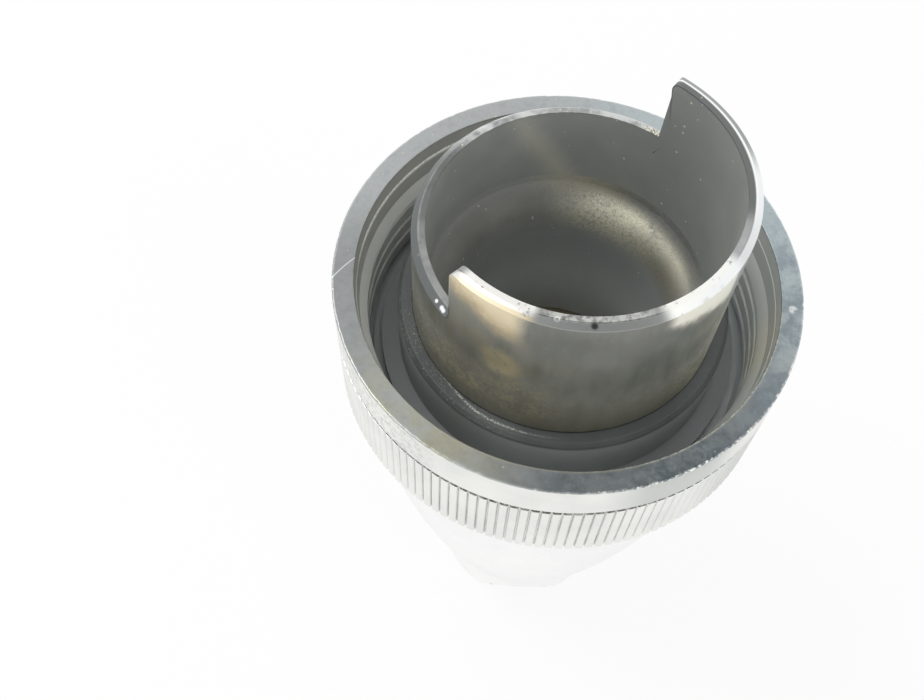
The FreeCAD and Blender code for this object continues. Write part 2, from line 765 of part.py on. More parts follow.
def make_plug_lock_screw():
    inner = "plug_thread_r + thread_fit"
    screw = slotted_screw("plug_lock_screw", "lock_screw_r", "lock_screw_length")
    screw.Label = "plug_lock_screw"
    screw.Placement.Rotation = FreeCAD.Rotation(FreeCAD.Vector(1, 0, 0), -90)
    bind(screw, "Placement.Base.y", inner)
    bind(screw, "Placement.Base.z", "-lock_screw_depth")
    return screw


def make_ferrule_grub_screws():
    inner = "cable_thread_core_r + grub_inset"
    length = "body_end_r - 2 * grub_inset - cable_thread_core_r"
    pair = []
    for side, turn_angle in (("right", 90), ("left", -90)):
        screw = slotted_screw("grub_" + side, "grub_r", length)
        screw.Placement.Rotation = FreeCAD.Rotation(FreeCAD.Vector(0, 1, 0), turn_angle)
        sign = "" if side == "right" else "-"
        bind(screw, "Placement.Base.x", f"{sign}({inner})")
        bind(screw, "Placement.Base.z", "-grub_depth")
        pair.append(screw)
    group = doc.addObject("Part::Compound", "ferrule_grub_screws")
    group.Label = "ferrule_grub_screws"
    group.Links = pair
    return group


# Build every piece, check it and write its file

MAKERS = [
    make_screw_collar,
    make_stepped_sleeve,
    make_tapered_body,
    make_throat_ring,
    make_collar_snap_ring,
    make_collar_washers,
    make_sleeve_key_pin,
    make_guide_bush,
    make_plunger_rod,
    make_plunger_cap,
    make_cap_pin,
    make_spring_follower,
    make_stop_clip,
    make_seats,
    make_return_spring,
    make_tail_plug,
    make_plug_lock_screw,
    make_ferrule_grub_screws,
]
pieces = []
for make in MAKERS:
    made = make()
    pieces += made if isinstance(made, list) else [made]
doc.recompute()

for thing in doc.Objects:
    if "Invalid" in thing.State or "Error" in thing.State:
        raise ValueError(f"{thing.Name}: {thing.State}")
for piece in pieces:
    shape = piece.Shape
    if shape.isNull() or not shape.isValid() or not shape.Solids:
        raise ValueError(f"{piece.Label}: no valid solid")
    if shape.Volume <= 0:
        raise ValueError(f"{piece.Label}: turned inside out")
for piece in pieces:
    piece.Shape.exportStep(f"parts/{piece.Label}.step")
    print(f"{piece.Label}: {piece.Shape.Volume:.2f} mm3")
print(f"{len(pieces)} pieces")
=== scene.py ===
import json
import math
import random

import bmesh
import bpy
from mathutils import Matrix, Vector


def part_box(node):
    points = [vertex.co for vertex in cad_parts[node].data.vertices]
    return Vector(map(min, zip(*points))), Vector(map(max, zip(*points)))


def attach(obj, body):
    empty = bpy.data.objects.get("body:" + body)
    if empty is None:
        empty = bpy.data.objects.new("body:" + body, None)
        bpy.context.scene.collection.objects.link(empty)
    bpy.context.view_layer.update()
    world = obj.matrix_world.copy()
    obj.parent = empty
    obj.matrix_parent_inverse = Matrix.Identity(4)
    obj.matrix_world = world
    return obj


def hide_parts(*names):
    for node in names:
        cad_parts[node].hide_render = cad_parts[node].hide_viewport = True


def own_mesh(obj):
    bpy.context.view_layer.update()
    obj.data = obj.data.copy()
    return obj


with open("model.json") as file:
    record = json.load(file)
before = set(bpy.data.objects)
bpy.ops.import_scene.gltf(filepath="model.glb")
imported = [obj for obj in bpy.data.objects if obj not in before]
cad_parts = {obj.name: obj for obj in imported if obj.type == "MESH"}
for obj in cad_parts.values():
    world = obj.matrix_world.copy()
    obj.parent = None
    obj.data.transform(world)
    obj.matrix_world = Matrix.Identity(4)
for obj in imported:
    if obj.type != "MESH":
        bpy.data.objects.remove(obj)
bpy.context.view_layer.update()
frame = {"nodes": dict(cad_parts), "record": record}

# Lengths are in millimetres until a mesh is made. The axis is Z, and the collar's rim is at zero.
MM = 0.001
FULL_CIRCLE = 2 * math.pi


def reach(node):
    """The node's largest radius and its lowest and highest height, in millimetres."""
    low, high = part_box(node)
    return high[0] / MM, low[2] / MM, high[2] / MM


# Sizes read from the frame
COLLAR_R, COLLAR_FOOT, _ = reach("screw_collar")
SLEEVE_R, SLEEVE_FOOT, SLEEVE_TIP = reach("stepped_sleeve")
SHOULDER_R, BODY_END, JOURNAL_TOP = reach("tapered_body")
THROAT_R, THROAT_END, THROAT_TOP = reach("throat_ring")
PLUG_R, PLUG_FOOT, PLUG_TOP = reach("tail_plug")
SPRING_R, SPRING_FOOT, SPRING_TOP = reach("return_spring")

# Screw collar. Each mouth line is how far in and how far down it lies, and its edge radius
MOUTH_R = 9.97
MOUTH_LINES = ((0.04, 0.8, 0.02), (0.09, 0.84, 0.02), (0.15, 1.76, 0.03))
THREAD_CORE_R = 9.46
THREAD_TOP = -2.4
THREAD_FOOT = -5.4
THREAD_PITCH = 1.0
RELIEF_R = 9.95
WEB_TOP = -6.1
WEB_BORE_R = 8.06
BAND = 2.25
GROOVE_WIDTH = 0.3
GROOVE_DEPTH = 0.14
FINE_EDGE = 0.03
FOOT_STRIP = 0.4
FOOT_STEP = 0.25
FOOT_BEVEL = 0.3
KNURL_COUNT = 144
KNURL_DEPTH = 0.15
KNURL_HALF_WIDTH = 0.075
KNURL_FLOOR_HALF = 0.025
KNURL_BURR_WIDTH = 0.03
KNURL_BURR_DEPTH = 0.012
KNURL_LAND = 0.2
RIM_BREAK = 0.08
THREAD_DEPTH = 0.35
THREAD_CREST_HALF = 0.34
THREAD_ROOT_HALF = 0.02
THREAD_RUN_IN = 0.15
THREAD_RUN_OUT = 0.3
THREAD_ROWS = 28
NICK_COUNT = 170
NICK_HALF_ANGLES = (0.006, 0.014)
NICK_DEPTHS = (0.004, 0.018)

# Stepped sleeve
SLEEVE_WALL = 0.62
SLEEVE_INNER_R = SLEEVE_R - SLEEVE_WALL
SLEEVE_LOW = 3.6
STEP_BACK = math.radians(55)
STEP_FRONT = math.radians(222)
STEP_LEAN = math.radians(4.6)
STEP_LEAN_REACH = math.radians(12)
STEP_ROOT = 1.2
BACK_FILLET = 0.25
FRONT_FILLET = 0.4
TIP_FILLET = 0.45
TIP_STEPS = 8
CORNER_STEPS = 6
LOW_STEPS = 110
TALL_STEPS = 170
UPRIGHT_GAP = 0.2
LIP_WIDTH = 0.33
LIP_HEIGHT = 0.1
LOW_LIP_HEIGHT = 0.34
LIP_BORDER = 0.09
SLEEVE_RELIEF = 0.2
SLEEVE_RELIEF_WIDTH = 0.6
RELIEF_TAPER = 0.02
SLEEVE_SEAT_STEP = 0.04
SLEEVE_FOOT_WIDTH = 0.7
SLEEVE_FOOT_TOP = -6.4
INNER_ROWS = (1.2, 0.0)
OUTER_ROWS = (-0.6, 0.6)

# Throat ring, body and plug
THROAT_BORE_R = 5.2
THROAT_ROWS = (-6.0, -9.0)
CLAMP_R = 5.85
CLAMP_TOP = -6.38
FUNNEL_TOP = -1.0
FUNNEL_GAP = 0.004
FUNNEL_TURN_R = 6.09
FUNNEL_TURN = -2.05
FUNNEL_ROUND_R = 1.97
FUNNEL_COVE_R = 1.25
FUNNEL_FOOT = -3.7
JOURNAL_R = 8.0
JOURNAL_BEVEL = 0.2
SEAT_BORE_R = 7.26
SEAT_FLOOR = -7.02
SNAP_GROOVE = (-5.76, -5.03)
SNAP_GROOVE_DEPTH = 0.28
SHOULDER_DEPTH = 7.63
SHOULDER_BEVEL = 0.15
BODY_END_R = 5.3
SIDE_BOW_R = 104
CLAMP_THREAD_R = 5.9
SPRING_BORE_R = 4.6
GUIDE_LEDGE = -13.0
BODY_BORE_END = -26.81
PLUG_THREAD_R = 3.65
PLUG_THREAD_GAP = 0.05
PLUG_BEVEL = 0.35
LOCK_SCREW_R = 1.0
LOCK_SCREW_SPAN = (3.0, 8.0)
GRUB_SCREW_R = 0.85
GRUB_SCREW_SPAN = (1.6, 6.5)
GRUB_SCREW_HEIGHT = 1.3
PLUG_FLAT_HALF = 4.6
PLUG_FLAT_HEIGHT = 2.0
PLUG_FLAT_EDGE = 0.02
SOCKET_R = 2.1
SOCKET_LENGTH = 4.0
WIRE_PASSAGE_R = 0.8

# Return spring, which the plunger presses together by its travel
SPRING_WIRE_R = 0.35
SPRING_TURNS = 5
SPRING_STEPS = 48
SPRING_SIDES = 14

# How meshes are made
EDGE_STEPS = 4
LEAST_BEND = math.radians(12)
LONGEST_STEP = 1.0
DOUBLE = 1e-7
CLOSE = 1e-6

# Floor
FLOOR_HALF = 600
FLOOR_GAP = 0.02


# Outlines and turned meshes

def bow(start, end, radius, side, steps):
    """Points on an arc, bulging left (1) or right (-1) of the way it runs; the end point is left out."""
    start, end = Vector(start), Vector(end)
    chord = end - start
    left = Vector((-chord.y, chord.x)).normalized()
    depth = math.sqrt(radius ** 2 - (chord.length / 2) ** 2)
    centre = (start + end) / 2 - left * side * depth
    first = math.atan2(start.y - centre.y, start.x - centre.x)
    sweep = -side * 2 * math.asin(chord.length / 2 / radius)
    angles = [first + sweep * n / steps for n in range(steps)]
    return [(centre.x + radius * math.cos(a), centre.y + radius * math.sin(a)) for a in angles]


def eased(outline, edge):
    """The closed outline with each sharp corner rounded, as rows of radius, height, wear and a mark of grime
    and painted shade.

    A corner that stands out is worn, and one that goes in holds grime and painted shade. A point's third
    number is its own edge radius.
    """
    rows = []
    for index, spot in enumerate(outline):
        here = Vector(spot[:2])
        radius = spot[2] if len(spot) > 2 else edge
        back = Vector(outline[index - 1][:2]) - here
        on = Vector(outline[(index + 1) % len(outline)][:2]) - here
        bend = math.pi - back.angle(on)
        if bend < LEAST_BEND or radius <= 0:
            rows.append((here, 0.0, 0.0))
            continue
        cut = min(radius * math.tan(bend / 2), 0.4 * back.length, 0.4 * on.length)
        stands_out = (-back).cross(on) > 0
        wear, grime_and_shade = (1.0, 0.0) if stands_out else (0.0, 1.0)
        start, end = here + back.normalized() * cut, here + on.normalized() * cut
        rows.append((start + back.normalized() * min(0.5 * cut, 0.3 * back.length), 0.0, 0.0))
        for step in range(EDGE_STEPS + 1):
            t = step / EDGE_STEPS
            rows.append((start * (1 - t) ** 2 + here * 2 * t * (1 - t) + end * t ** 2, wear, grime_and_shade))
        rows.append((end + on.normalized() * min(0.5 * cut, 0.3 * on.length), 0.0, 0.0))
    filled = []
    for row, following in zip(rows, rows[1:] + rows[:1]):
        filled.append(row)
        parts = math.ceil((following[0] - row[0]).length / LONGEST_STEP)
        for part in range(1, parts):
            filled.append((row[0].lerp(following[0], part / parts), 0.0, 0.0))
    return [(place.x, place.y, wear, grime_and_shade) for place, wear, grime_and_shade in filled]


def without_doubles(mesh):
    """Joins the mesh's corners that lie on one another, which also takes away faces with no area."""
    work = bmesh.new()
    work.from_mesh(mesh)
    bmesh.ops.remove_doubles(work, verts=work.verts, dist=DOUBLE)
    bmesh.ops.dissolve_degenerate(work, edges=work.edges, dist=DOUBLE)
    work.to_mesh(mesh)
    work.free()


def shade(mesh, sharp):
    """Shades the mesh smooth, except across edges that bend by more than this many degrees."""
    mesh.shade_smooth()
    mesh.set_sharp_from_angle(angle=math.radians(sharp))


def in_scene(name, data):
    """A new object in the scene, made of a mesh, a lamp or a camera."""
    thing = bpy.data.objects.new(name, data)
    bpy.context.scene.collection.objects.link(thing)
    return thing


def new_piece(name, vertices, faces, marks=None):
    """A smooth-shaded object from vertices in millimetres. Marks are named values, one for each vertex."""
    mesh = bpy.data.meshes.new(name)
    mesh.from_pydata([(x * MM, y * MM, z * MM) for x, y, z in vertices], [], faces)
    for mark, values in (marks or {}).items():
        layer = mesh.attributes.new(mark, "FLOAT", "POINT")
        layer.data.foreach_set("value", values)
    without_doubles(mesh)
    mesh.validate()
    shade(mesh, 50)
    return in_scene(name, mesh)


def turned(name, rows, angles=256, shape=None):
    """A ring turned from its rows. Shape moves a point, given angle, radius, height, row and grime and
    painted shade.
    """
    if isinstance(angles, int):
        angles = [FULL_CIRCLE * n / angles for n in range(angles)]
    count = len(angles)
    vertices, wear, grime_and_shade, faces = [], [], [], []
    for number, (radius, height, worn, grime_shade) in enumerate(rows):
        for angle in angles:
            r, z, dirt = shape(angle, radius, height, number, grime_shade) if shape else (radius, height, grime_shade)
            vertices.append((r * math.cos(angle), r * math.sin(angle), z))
            wear.append(worn)
            grime_and_shade.append(dirt)
    for number in range(len(rows)):
        low, high = number * count, (number + 1) % len(rows) * count
        for n in range(count):
            m = (n + 1) % count
            faces.append((low + n, low + m, high + m, high + n))
    return new_piece(name, vertices, faces, {"edge_wear": wear, "grime_and_shade": grime_and_shade})


def cut_away(piece, cutter):
    """Takes the cutter's shape out of the piece and removes the cutter."""
    modifier = piece.modifiers.new("cut", "BOOLEAN")
    modifier.operation = "DIFFERENCE"
    modifier.object = cutter
    modifier.solver = "EXACT"
    bpy.context.view_layer.update()
    seen = piece.evaluated_get(bpy.context.evaluated_depsgraph_get())
    mesh = bpy.data.meshes.new_from_object(seen)
    piece.modifiers.clear()
    without_doubles(mesh)
    shade(mesh, 40)
    piece.data = mesh
    bpy.data.objects.remove(cutter)


def drill(piece, radius, start, end, sides=48):
    """A round hole from start to end, both in millimetres."""
    start, end = Vector(start), Vector(end)
    way = (end - start).to_track_quat("Z", "Y").to_matrix().to_4x4()
    turns = [FULL_CIRCLE * n / sides for n in range(sides)]
    spots = [
        way @ Vector((radius * math.cos(turn), radius * math.sin(turn), height)) + start
        for height in (0, (end - start).length) for turn in turns
    ]
    faces = [tuple(range(sides - 1, -1, -1)), tuple(range(sides, 2 * sides))]
    faces += [(n, (n + 1) % sides, sides + (n + 1) % sides, sides + n) for n in range(sides)]
    cut_away(piece, new_piece("drill_bit", spots, faces))


# Screw collar

def knurl_cut(angle):
    """How deep the coin edge is cut at this angle."""
    pitch = FULL_CIRCLE / KNURL_COUNT
    off = abs((angle + pitch / 2) % pitch - pitch / 2) * COLLAR_R
    if off >= KNURL_HALF_WIDTH + KNURL_BURR_WIDTH:
        return 0.0
    if off >= KNURL_HALF_WIDTH:
        return KNURL_BURR_DEPTH * (KNURL_HALF_WIDTH + KNURL_BURR_WIDTH - off) / KNURL_BURR_WIDTH
    if off <= KNURL_FLOOR_HALF:
        return KNURL_DEPTH
    flank = (KNURL_HALF_WIDTH - off) / (KNURL_HALF_WIDTH - KNURL_FLOOR_HALF)
    return KNURL_BURR_DEPTH + (KNURL_DEPTH - KNURL_BURR_DEPTH) * flank


def thread_cut(angle, height):
    """How deep the thread is cut at this angle and height: broad worn crests and narrow roots."""
    turn = (height - THREAD_TOP) / THREAD_PITCH - angle / FULL_CIRCLE
    off = abs((turn + 0.5) % 1 - 0.5)
    flank = 0.5 - THREAD_ROOT_HALF - THREAD_CREST_HALF
    return min(max((off - THREAD_CREST_HALF) / flank, 0.0), 1.0)


def make_collar():
    foot = COLLAR_FOOT
    groove_foot = -BAND - GROOVE_WIDTH
    rows = eased([
        (WEB_BORE_R, foot), (COLLAR_R - FOOT_STEP - FOOT_BEVEL, foot),
        (COLLAR_R - FOOT_STEP, foot + FOOT_STRIP), (COLLAR_R, foot + FOOT_STRIP, FINE_EDGE),
        (COLLAR_R, groove_foot, FINE_EDGE), (COLLAR_R - GROOVE_DEPTH, groove_foot),
        (COLLAR_R - GROOVE_DEPTH, -BAND - 2 * FINE_EDGE), (COLLAR_R, -BAND, FINE_EDGE),
        (COLLAR_R, 0, RIM_BREAK), (MOUTH_R, 0),
        *((MOUTH_R - inward, -down, edge) for inward, down, edge in MOUTH_LINES),
        (THREAD_CORE_R, THREAD_TOP, 0.0), (THREAD_CORE_R, THREAD_FOOT, 0.0),
        (RELIEF_R, THREAD_FOOT - 0.05), (RELIEF_R, WEB_TOP), (WEB_BORE_R, WEB_TOP),
    ], edge=0.05)
    # The thread needs fine rows between its two ends
    plain = [
        number for number, (radius, height, _, _) in enumerate(rows)
        if abs(radius - THREAD_CORE_R) < CLOSE and THREAD_FOOT - CLOSE <= height <= THREAD_TOP + CLOSE
    ]
    fine = round((THREAD_TOP - THREAD_FOOT) / THREAD_PITCH * THREAD_ROWS)
    rows[plain[0]:plain[-1] + 1] = [
        (THREAD_CORE_R, THREAD_TOP + (THREAD_FOOT - THREAD_TOP) * n / fine, 0.0, 0.0) for n in range(fine + 1)
    ]
    thread_numbers = range(plain[0], plain[0] + fine + 1)
    draw = random.Random(7)
    nicks = [
        (draw.uniform(0, FULL_CIRCLE), draw.uniform(*NICK_HALF_ANGLES), draw.uniform(*NICK_DEPTHS))
        for _ in range(NICK_COUNT)
    ]

    def shape(angle, radius, height, number, grime_shade):
        if number in thread_numbers:
            inside = min(1.0, (THREAD_TOP - height) / THREAD_RUN_IN, (height - THREAD_FOOT) / THREAD_RUN_OUT)
            cut = thread_cut(angle, height) * max(inside, 0.0)
            return radius + THREAD_DEPTH * cut, height, cut
        in_knurl = foot + FOOT_STRIP - 0.001 <= height <= groove_foot + 0.001 and radius > COLLAR_R - 0.1
        if in_knurl:
            cut = knurl_cut(angle)
            return min(radius, COLLAR_R - cut), height, min(cut / KNURL_DEPTH, 1.0)
        if radius > COLLAR_R - RIM_BREAK * 0.8 and height > -RIM_BREAK:
            for place, wide, deep in nicks:
                off = abs((angle - place + math.pi) % FULL_CIRCLE - math.pi) / wide
                if off < 1:
                    bite = deep * (1 - off ** 2)
                    radius, height = radius - bite, height - 0.4 * bite
        return radius, height, grime_shade

    floor, flank, burr = KNURL_FLOOR_HALF, KNURL_HALF_WIDTH, KNURL_HALF_WIDTH + KNURL_BURR_WIDTH
    pitch = FULL_CIRCLE / KNURL_COUNT
    angles = [
        pitch * n + off / COLLAR_R
        for n in range(KNURL_COUNT) for off in (-burr, -flank, -floor, floor, flank, burr, KNURL_LAND)
    ]
    return turned("collar_shell", rows, angles, shape=shape)


# Stepped sleeve

def lip_path():
    """The sleeve's upper edge once round: angle, height, the lip's outer radius and its bevel's foot."""
    path = []
    high, low = SLEEVE_TIP, SLEEVE_LOW

    def tall(angle, height):
        """On the tall stretch and its tips the bevel is turned, so its radius follows from the height."""
        share = max((height - high + LIP_HEIGHT) / LIP_HEIGHT, 0.0)
        path.append((angle, height, SLEEVE_R - LIP_WIDTH * share, min(height, high - LIP_HEIGHT)))

    def short(angle, height, share=1.0):
        path.append((angle, height, SLEEVE_R - LIP_WIDTH * share, height - LOW_LIP_HEIGHT * share))

    def tip(centre, first, way):
        for n in range(TIP_STEPS + 1):
            turn = first + way * math.pi / 2 * n / TIP_STEPS
            height = high - TIP_FILLET + TIP_FILLET * math.sin(turn)
            tall(centre + TIP_FILLET * math.cos(turn) / SLEEVE_R, height)

    def inner_corner(centre, fillet, first, way):
        """A quarter circle at the foot of a step, where the bevel runs out towards the upright edge."""
        for n in range(CORNER_STEPS + 1):
            turn = first + way * math.pi / 2 * n / CORNER_STEPS
            height = low + fillet + fillet * math.sin(turn)
            short(centre + fillet * math.cos(turn) / SLEEVE_R, height, abs(math.sin(turn)))

    tip(STEP_BACK - TIP_FILLET / SLEEVE_R, math.pi / 2, -1)
    tall(STEP_BACK, high - TIP_FILLET - UPRIGHT_GAP)
    inner_corner(STEP_BACK + BACK_FILLET / SLEEVE_R, BACK_FILLET, math.pi, 1)
    start, end = STEP_BACK + BACK_FILLET / SLEEVE_R, STEP_FRONT - FRONT_FILLET / SLEEVE_R
    for n in range(1, LOW_STEPS):
        short(start + (end - start) * n / LOW_STEPS, low)
    inner_corner(STEP_FRONT - FRONT_FILLET / SLEEVE_R, FRONT_FILLET, -math.pi / 2, 1)
    tall(STEP_FRONT, high - TIP_FILLET - UPRIGHT_GAP)
    tip(STEP_FRONT + TIP_FILLET / SLEEVE_R, math.pi, -1)
    start, end = STEP_FRONT + TIP_FILLET / SLEEVE_R, STEP_BACK - TIP_FILLET / SLEEVE_R + FULL_CIRCLE
    for n in range(1, TALL_STEPS):
        tall(start + (end - start) * n / TALL_STEPS, high)
    return path


def drawn_in(line, distance):
    """A closed line of angles and heights on the sleeve, moved this far into its wall."""
    moved = []
    turn = FULL_CIRCLE * SLEEVE_R
    flat = [Vector((angle * SLEEVE_R, height)) for angle, height in line]

    def way(start, end):
        step = end - start
        step.x = (step.x + turn / 2) % turn - turn / 2
        return step.normalized()

    for n, here in enumerate(flat):
        along = (way(flat[n - 1], here) + way(here, flat[(n + 1) % len(flat)])).normalized()
        moved.append(((here.x + distance * along.y) / SLEEVE_R, here.y - distance * along.x))
    return moved


def leaned(angle, height):
    """The angle after the back step's upright is leant, its foot round from its tip."""
    off = abs((angle - STEP_BACK + math.pi) % FULL_CIRCLE - math.pi)
    near = max(1 - off / STEP_LEAN_REACH, 0.0)
    if height >= SLEEVE_LOW:
        share = (SLEEVE_TIP - height) / (SLEEVE_TIP - SLEEVE_LOW)
    else:
        share = max(1 - (SLEEVE_LOW - height) / STEP_ROOT, 0.0)
    return angle - STEP_LEAN * near * share


def make_sleeve():
    path = lip_path()
    angles = []
    for angle, *_ in path:
        if not angles or abs(angle - angles[-1]) > 1e-5:
            angles.append(angle)
    shoulder = SLEEVE_LOW - STEP_ROOT
    seat_r, foot_r = SLEEVE_R - SLEEVE_SEAT_STEP, SLEEVE_INNER_R - SLEEVE_FOOT_WIDTH
    in_top, out_top = THROAT_TOP + SLEEVE_RELIEF_WIDTH / 4, JOURNAL_TOP + 2 * RELIEF_TAPER
    in_foot, out_foot = in_top - SLEEVE_RELIEF_WIDTH, out_top - SLEEVE_RELIEF_WIDTH
    in_r, out_r = SLEEVE_INNER_R + SLEEVE_RELIEF, SLEEVE_R - SLEEVE_RELIEF
    wall = [
        *((SLEEVE_INNER_R, height) for height in (shoulder, *INNER_ROWS, in_top)),
        (in_r, in_top - RELIEF_TAPER), (in_r, in_foot), (SLEEVE_INNER_R, in_foot),
        (SLEEVE_INNER_R, SLEEVE_FOOT_TOP), (foot_r, SLEEVE_FOOT_TOP), (foot_r, SLEEVE_FOOT),
        (seat_r, SLEEVE_FOOT), (seat_r, out_foot), (out_r, out_foot), (out_r, out_top - RELIEF_TAPER),
        *((SLEEVE_R, height) for height in (out_top, *OUTER_ROWS, shoulder)),
    ]
    work = bmesh.new()
    lip_layer = work.verts.layers.float.new("lip")
    made = {}

    def vertex(radius, angle, height):
        angle = leaned(angle, height)
        place = (radius * math.cos(angle), radius * math.sin(angle), height)
        key = tuple(round(value, 5) for value in place)
        if key not in made:
            made[key] = work.verts.new(place)
        return made[key]

    def face(corners):
        corners = list(dict.fromkeys(corners))
        if len(corners) > 2:
            work.faces.new(corners)

    grid = [[vertex(radius, angle, height) for angle in angles] for radius, height in wall]
    count = len(angles)
    for low, high in zip(grid, grid[1:]):
        for n in range(count):
            m = (n + 1) % count
            face((low[n], high[n], high[m], low[m]))
    inner = [vertex(SLEEVE_INNER_R, angle, height) for angle, height, _, _ in path]
    outer = [vertex(radius, angle, height) for angle, height, radius, _ in path]
    bevel = [vertex(SLEEVE_R, angle, start) for angle, _, _, start in path]
    inner_border = drawn_in([(angle, height) for angle, height, _, _ in path], LIP_BORDER)
    inner_border = [vertex(SLEEVE_INNER_R, angle, height) for angle, height in inner_border]
    outer_border = drawn_in([(angle, start) for angle, _, _, start in path], LIP_BORDER)
    outer_border = [vertex(SLEEVE_R, angle, height) for angle, height in outer_border]
    steps = len(path)
    for n in range(steps):
        m = (n + 1) % steps
        face((inner[n], outer[n], outer[m], inner[m]))
        face((outer[n], bevel[n], bevel[m], outer[m]))
        face((inner[n], inner[m], inner_border[m], inner_border[n]))
        face((bevel[n], bevel[m], outer_border[m], outer_border[n]))
    # Below the borders each column is one face, and a step's side points belong to the taller one
    spans = {}
    for n, (angle, *_) in enumerate(path):
        spans.setdefault(min(range(count), key=lambda c: abs(angles[c] - angle)), []).append(n)
    for column in range(count):
        following = (column + 1) % count
        left, right = spans[column], spans[following]
        wall_left = left if path[left[-1]][1] > path[left[0]][1] else [left[-1]]
        wall_right = right if path[right[0]][1] > path[right[-1]][1] else [right[0]]
        for ring, lip in ((grid[0], inner_border), (grid[-1], outer_border)):
            corners = [ring[column], ring[following]]
            corners += sorted((lip[n] for n in wall_right), key=lambda v: v.co.z)
            corners += sorted((lip[n] for n in wall_left), key=lambda v: -v.co.z)
            face(corners)
    bmesh.ops.recalc_face_normals(work, faces=work.faces)
    for side in work.faces:
        middle = side.calc_center_median()
        outward = Vector((middle.x, middle.y, 0)).normalized()
        if middle.z > SLEEVE_LOW - LOW_LIP_HEIGHT - 0.1 and abs(side.normal.dot(outward)) < 0.9:
            for corner in side.verts:
                corner[lip_layer] = 1.0
    for corner in work.verts:
        corner.co *= MM
    mesh = bpy.data.meshes.new("sleeve_tube")
    work.to_mesh(mesh)
    work.free()
    shade(mesh, 16)
    return in_scene("sleeve_tube", mesh)


# Throat ring, tapered body and tail plug

def make_throat():
    """The funnel leaves the sleeve's wall as a cove, turns over and runs into the bore."""
    bore, turn = THROAT_BORE_R, (FUNNEL_TURN_R, FUNNEL_TURN)
    start = (SLEEVE_INNER_R - FUNNEL_GAP, FUNNEL_TOP)
    funnel = bow(start, turn, FUNNEL_COVE_R, 1, 14) + bow(turn, (bore, FUNNEL_FOOT), FUNNEL_ROUND_R, -1, 16)
    outline = [
        (bore, THROAT_END), (CLAMP_R, THROAT_END), (CLAMP_R, CLAMP_TOP), (THROAT_R, CLAMP_TOP),
        (THROAT_R, THROAT_TOP), (*start, 0.0), *funnel[1:],
        *((bore, height) for height in (FUNNEL_FOOT, *THROAT_ROWS)),
    ]
    return turned("throat_funnel", eased(outline, edge=0.04))


def make_body():
    shoulder = (SHOULDER_R, -SHOULDER_DEPTH - SHOULDER_BEVEL)
    groove_foot, groove_top = SNAP_GROOVE
    groove_r = JOURNAL_R - SNAP_GROOVE_DEPTH
    outline = [
        (PLUG_THREAD_R, BODY_END), *bow((BODY_END_R, BODY_END), shoulder, SIDE_BOW_R, -1, 40), shoulder,
        (SHOULDER_R - SHOULDER_BEVEL, -SHOULDER_DEPTH), (JOURNAL_R, -SHOULDER_DEPTH),
        (JOURNAL_R, groove_foot), (groove_r, groove_foot), (groove_r, groove_top), (JOURNAL_R, groove_top),
        (JOURNAL_R, JOURNAL_TOP - JOURNAL_BEVEL), (JOURNAL_R - JOURNAL_BEVEL, JOURNAL_TOP),
        (SEAT_BORE_R, JOURNAL_TOP), (SEAT_BORE_R, SEAT_FLOOR), (CLAMP_THREAD_R, SEAT_FLOOR),
        (CLAMP_THREAD_R, GUIDE_LEDGE), (SPRING_BORE_R, GUIDE_LEDGE), (SPRING_BORE_R, BODY_BORE_END),
        (PLUG_THREAD_R, BODY_BORE_END),
    ]
    piece = turned("body_shell", eased(outline, edge=0.06))
    height = (PLUG_TOP + BODY_END) / 2
    start, end = LOCK_SCREW_SPAN
    drill(piece, LOCK_SCREW_R, (0, start, height), (0, end, height))
    return piece


def make_plug():
    socket_end, flat_top = PLUG_FOOT + SOCKET_LENGTH, PLUG_FOOT + PLUG_FLAT_HEIGHT
    thread_r = PLUG_THREAD_R - PLUG_THREAD_GAP
    outline = [
        (WIRE_PASSAGE_R, socket_end), (SOCKET_R, socket_end), (SOCKET_R, PLUG_FOOT),
        (PLUG_R - PLUG_BEVEL, PLUG_FOOT), (PLUG_R, PLUG_FOOT + PLUG_BEVEL),
        (PLUG_R, flat_top, PLUG_FLAT_EDGE), (PLUG_R, flat_top + PLUG_FLAT_EDGE, 0.0), (PLUG_R, BODY_END),
        (thread_r, BODY_END), (thread_r, PLUG_TOP), (WIRE_PASSAGE_R, PLUG_TOP),
    ]

    def shape(angle, radius, height, number, grime_shade):
        across = abs(math.sin(angle))
        if height < flat_top + PLUG_FLAT_EDGE / 4 and radius * across > PLUG_FLAT_HALF:
            return PLUG_FLAT_HALF / across, height, grime_shade
        return radius, height, grime_shade

    piece = turned("plug_shell", eased(outline, edge=0.05), angles=288, shape=shape)
    height = PLUG_FOOT + GRUB_SCREW_HEIGHT
    start, end = GRUB_SCREW_SPAN
    for side in (1, -1):
        drill(piece, GRUB_SCREW_R, (side * start, 0, height), (side * end, 0, height))
    return piece


# Return spring

def make_spring():
    """One round wire, wound upward from the spring's foot."""
    mean_r = SPRING_R - SPRING_WIRE_R
    foot, top = SPRING_FOOT + SPRING_WIRE_R, SPRING_TOP - SPRING_WIRE_R
    slope = (top - foot) / (SPRING_TURNS * FULL_CIRCLE)
    steps, sides = SPRING_STEPS * SPRING_TURNS, SPRING_SIDES
    vertices, faces = [], []
    for n in range(steps + 1):
        angle = FULL_CIRCLE * n * SPRING_TURNS / steps
        outward = Vector((math.cos(angle), math.sin(angle), 0))
        heading = Vector((-mean_r * outward.y, mean_r * outward.x, slope)).normalized()
        across = outward.cross(heading)
        centre = outward * mean_r + Vector((0, 0, foot + slope * angle))
        for side in range(sides):
            turn = FULL_CIRCLE * side / sides
            vertices.append(centre + (outward * math.cos(turn) - across * math.sin(turn)) * SPRING_WIRE_R)
    for n in range(steps):
        for side in range(sides):
            here, beside = n * sides + side, n * sides + (side + 1) % sides
            faces.append((here, beside, beside + sides, here + sides))
    faces.append(tuple(range(sides - 1, -1, -1)))
    faces.append(tuple(range(steps * sides, steps * sides + sides)))
    return new_piece("spring_coil", vertices, faces)


# Finishes

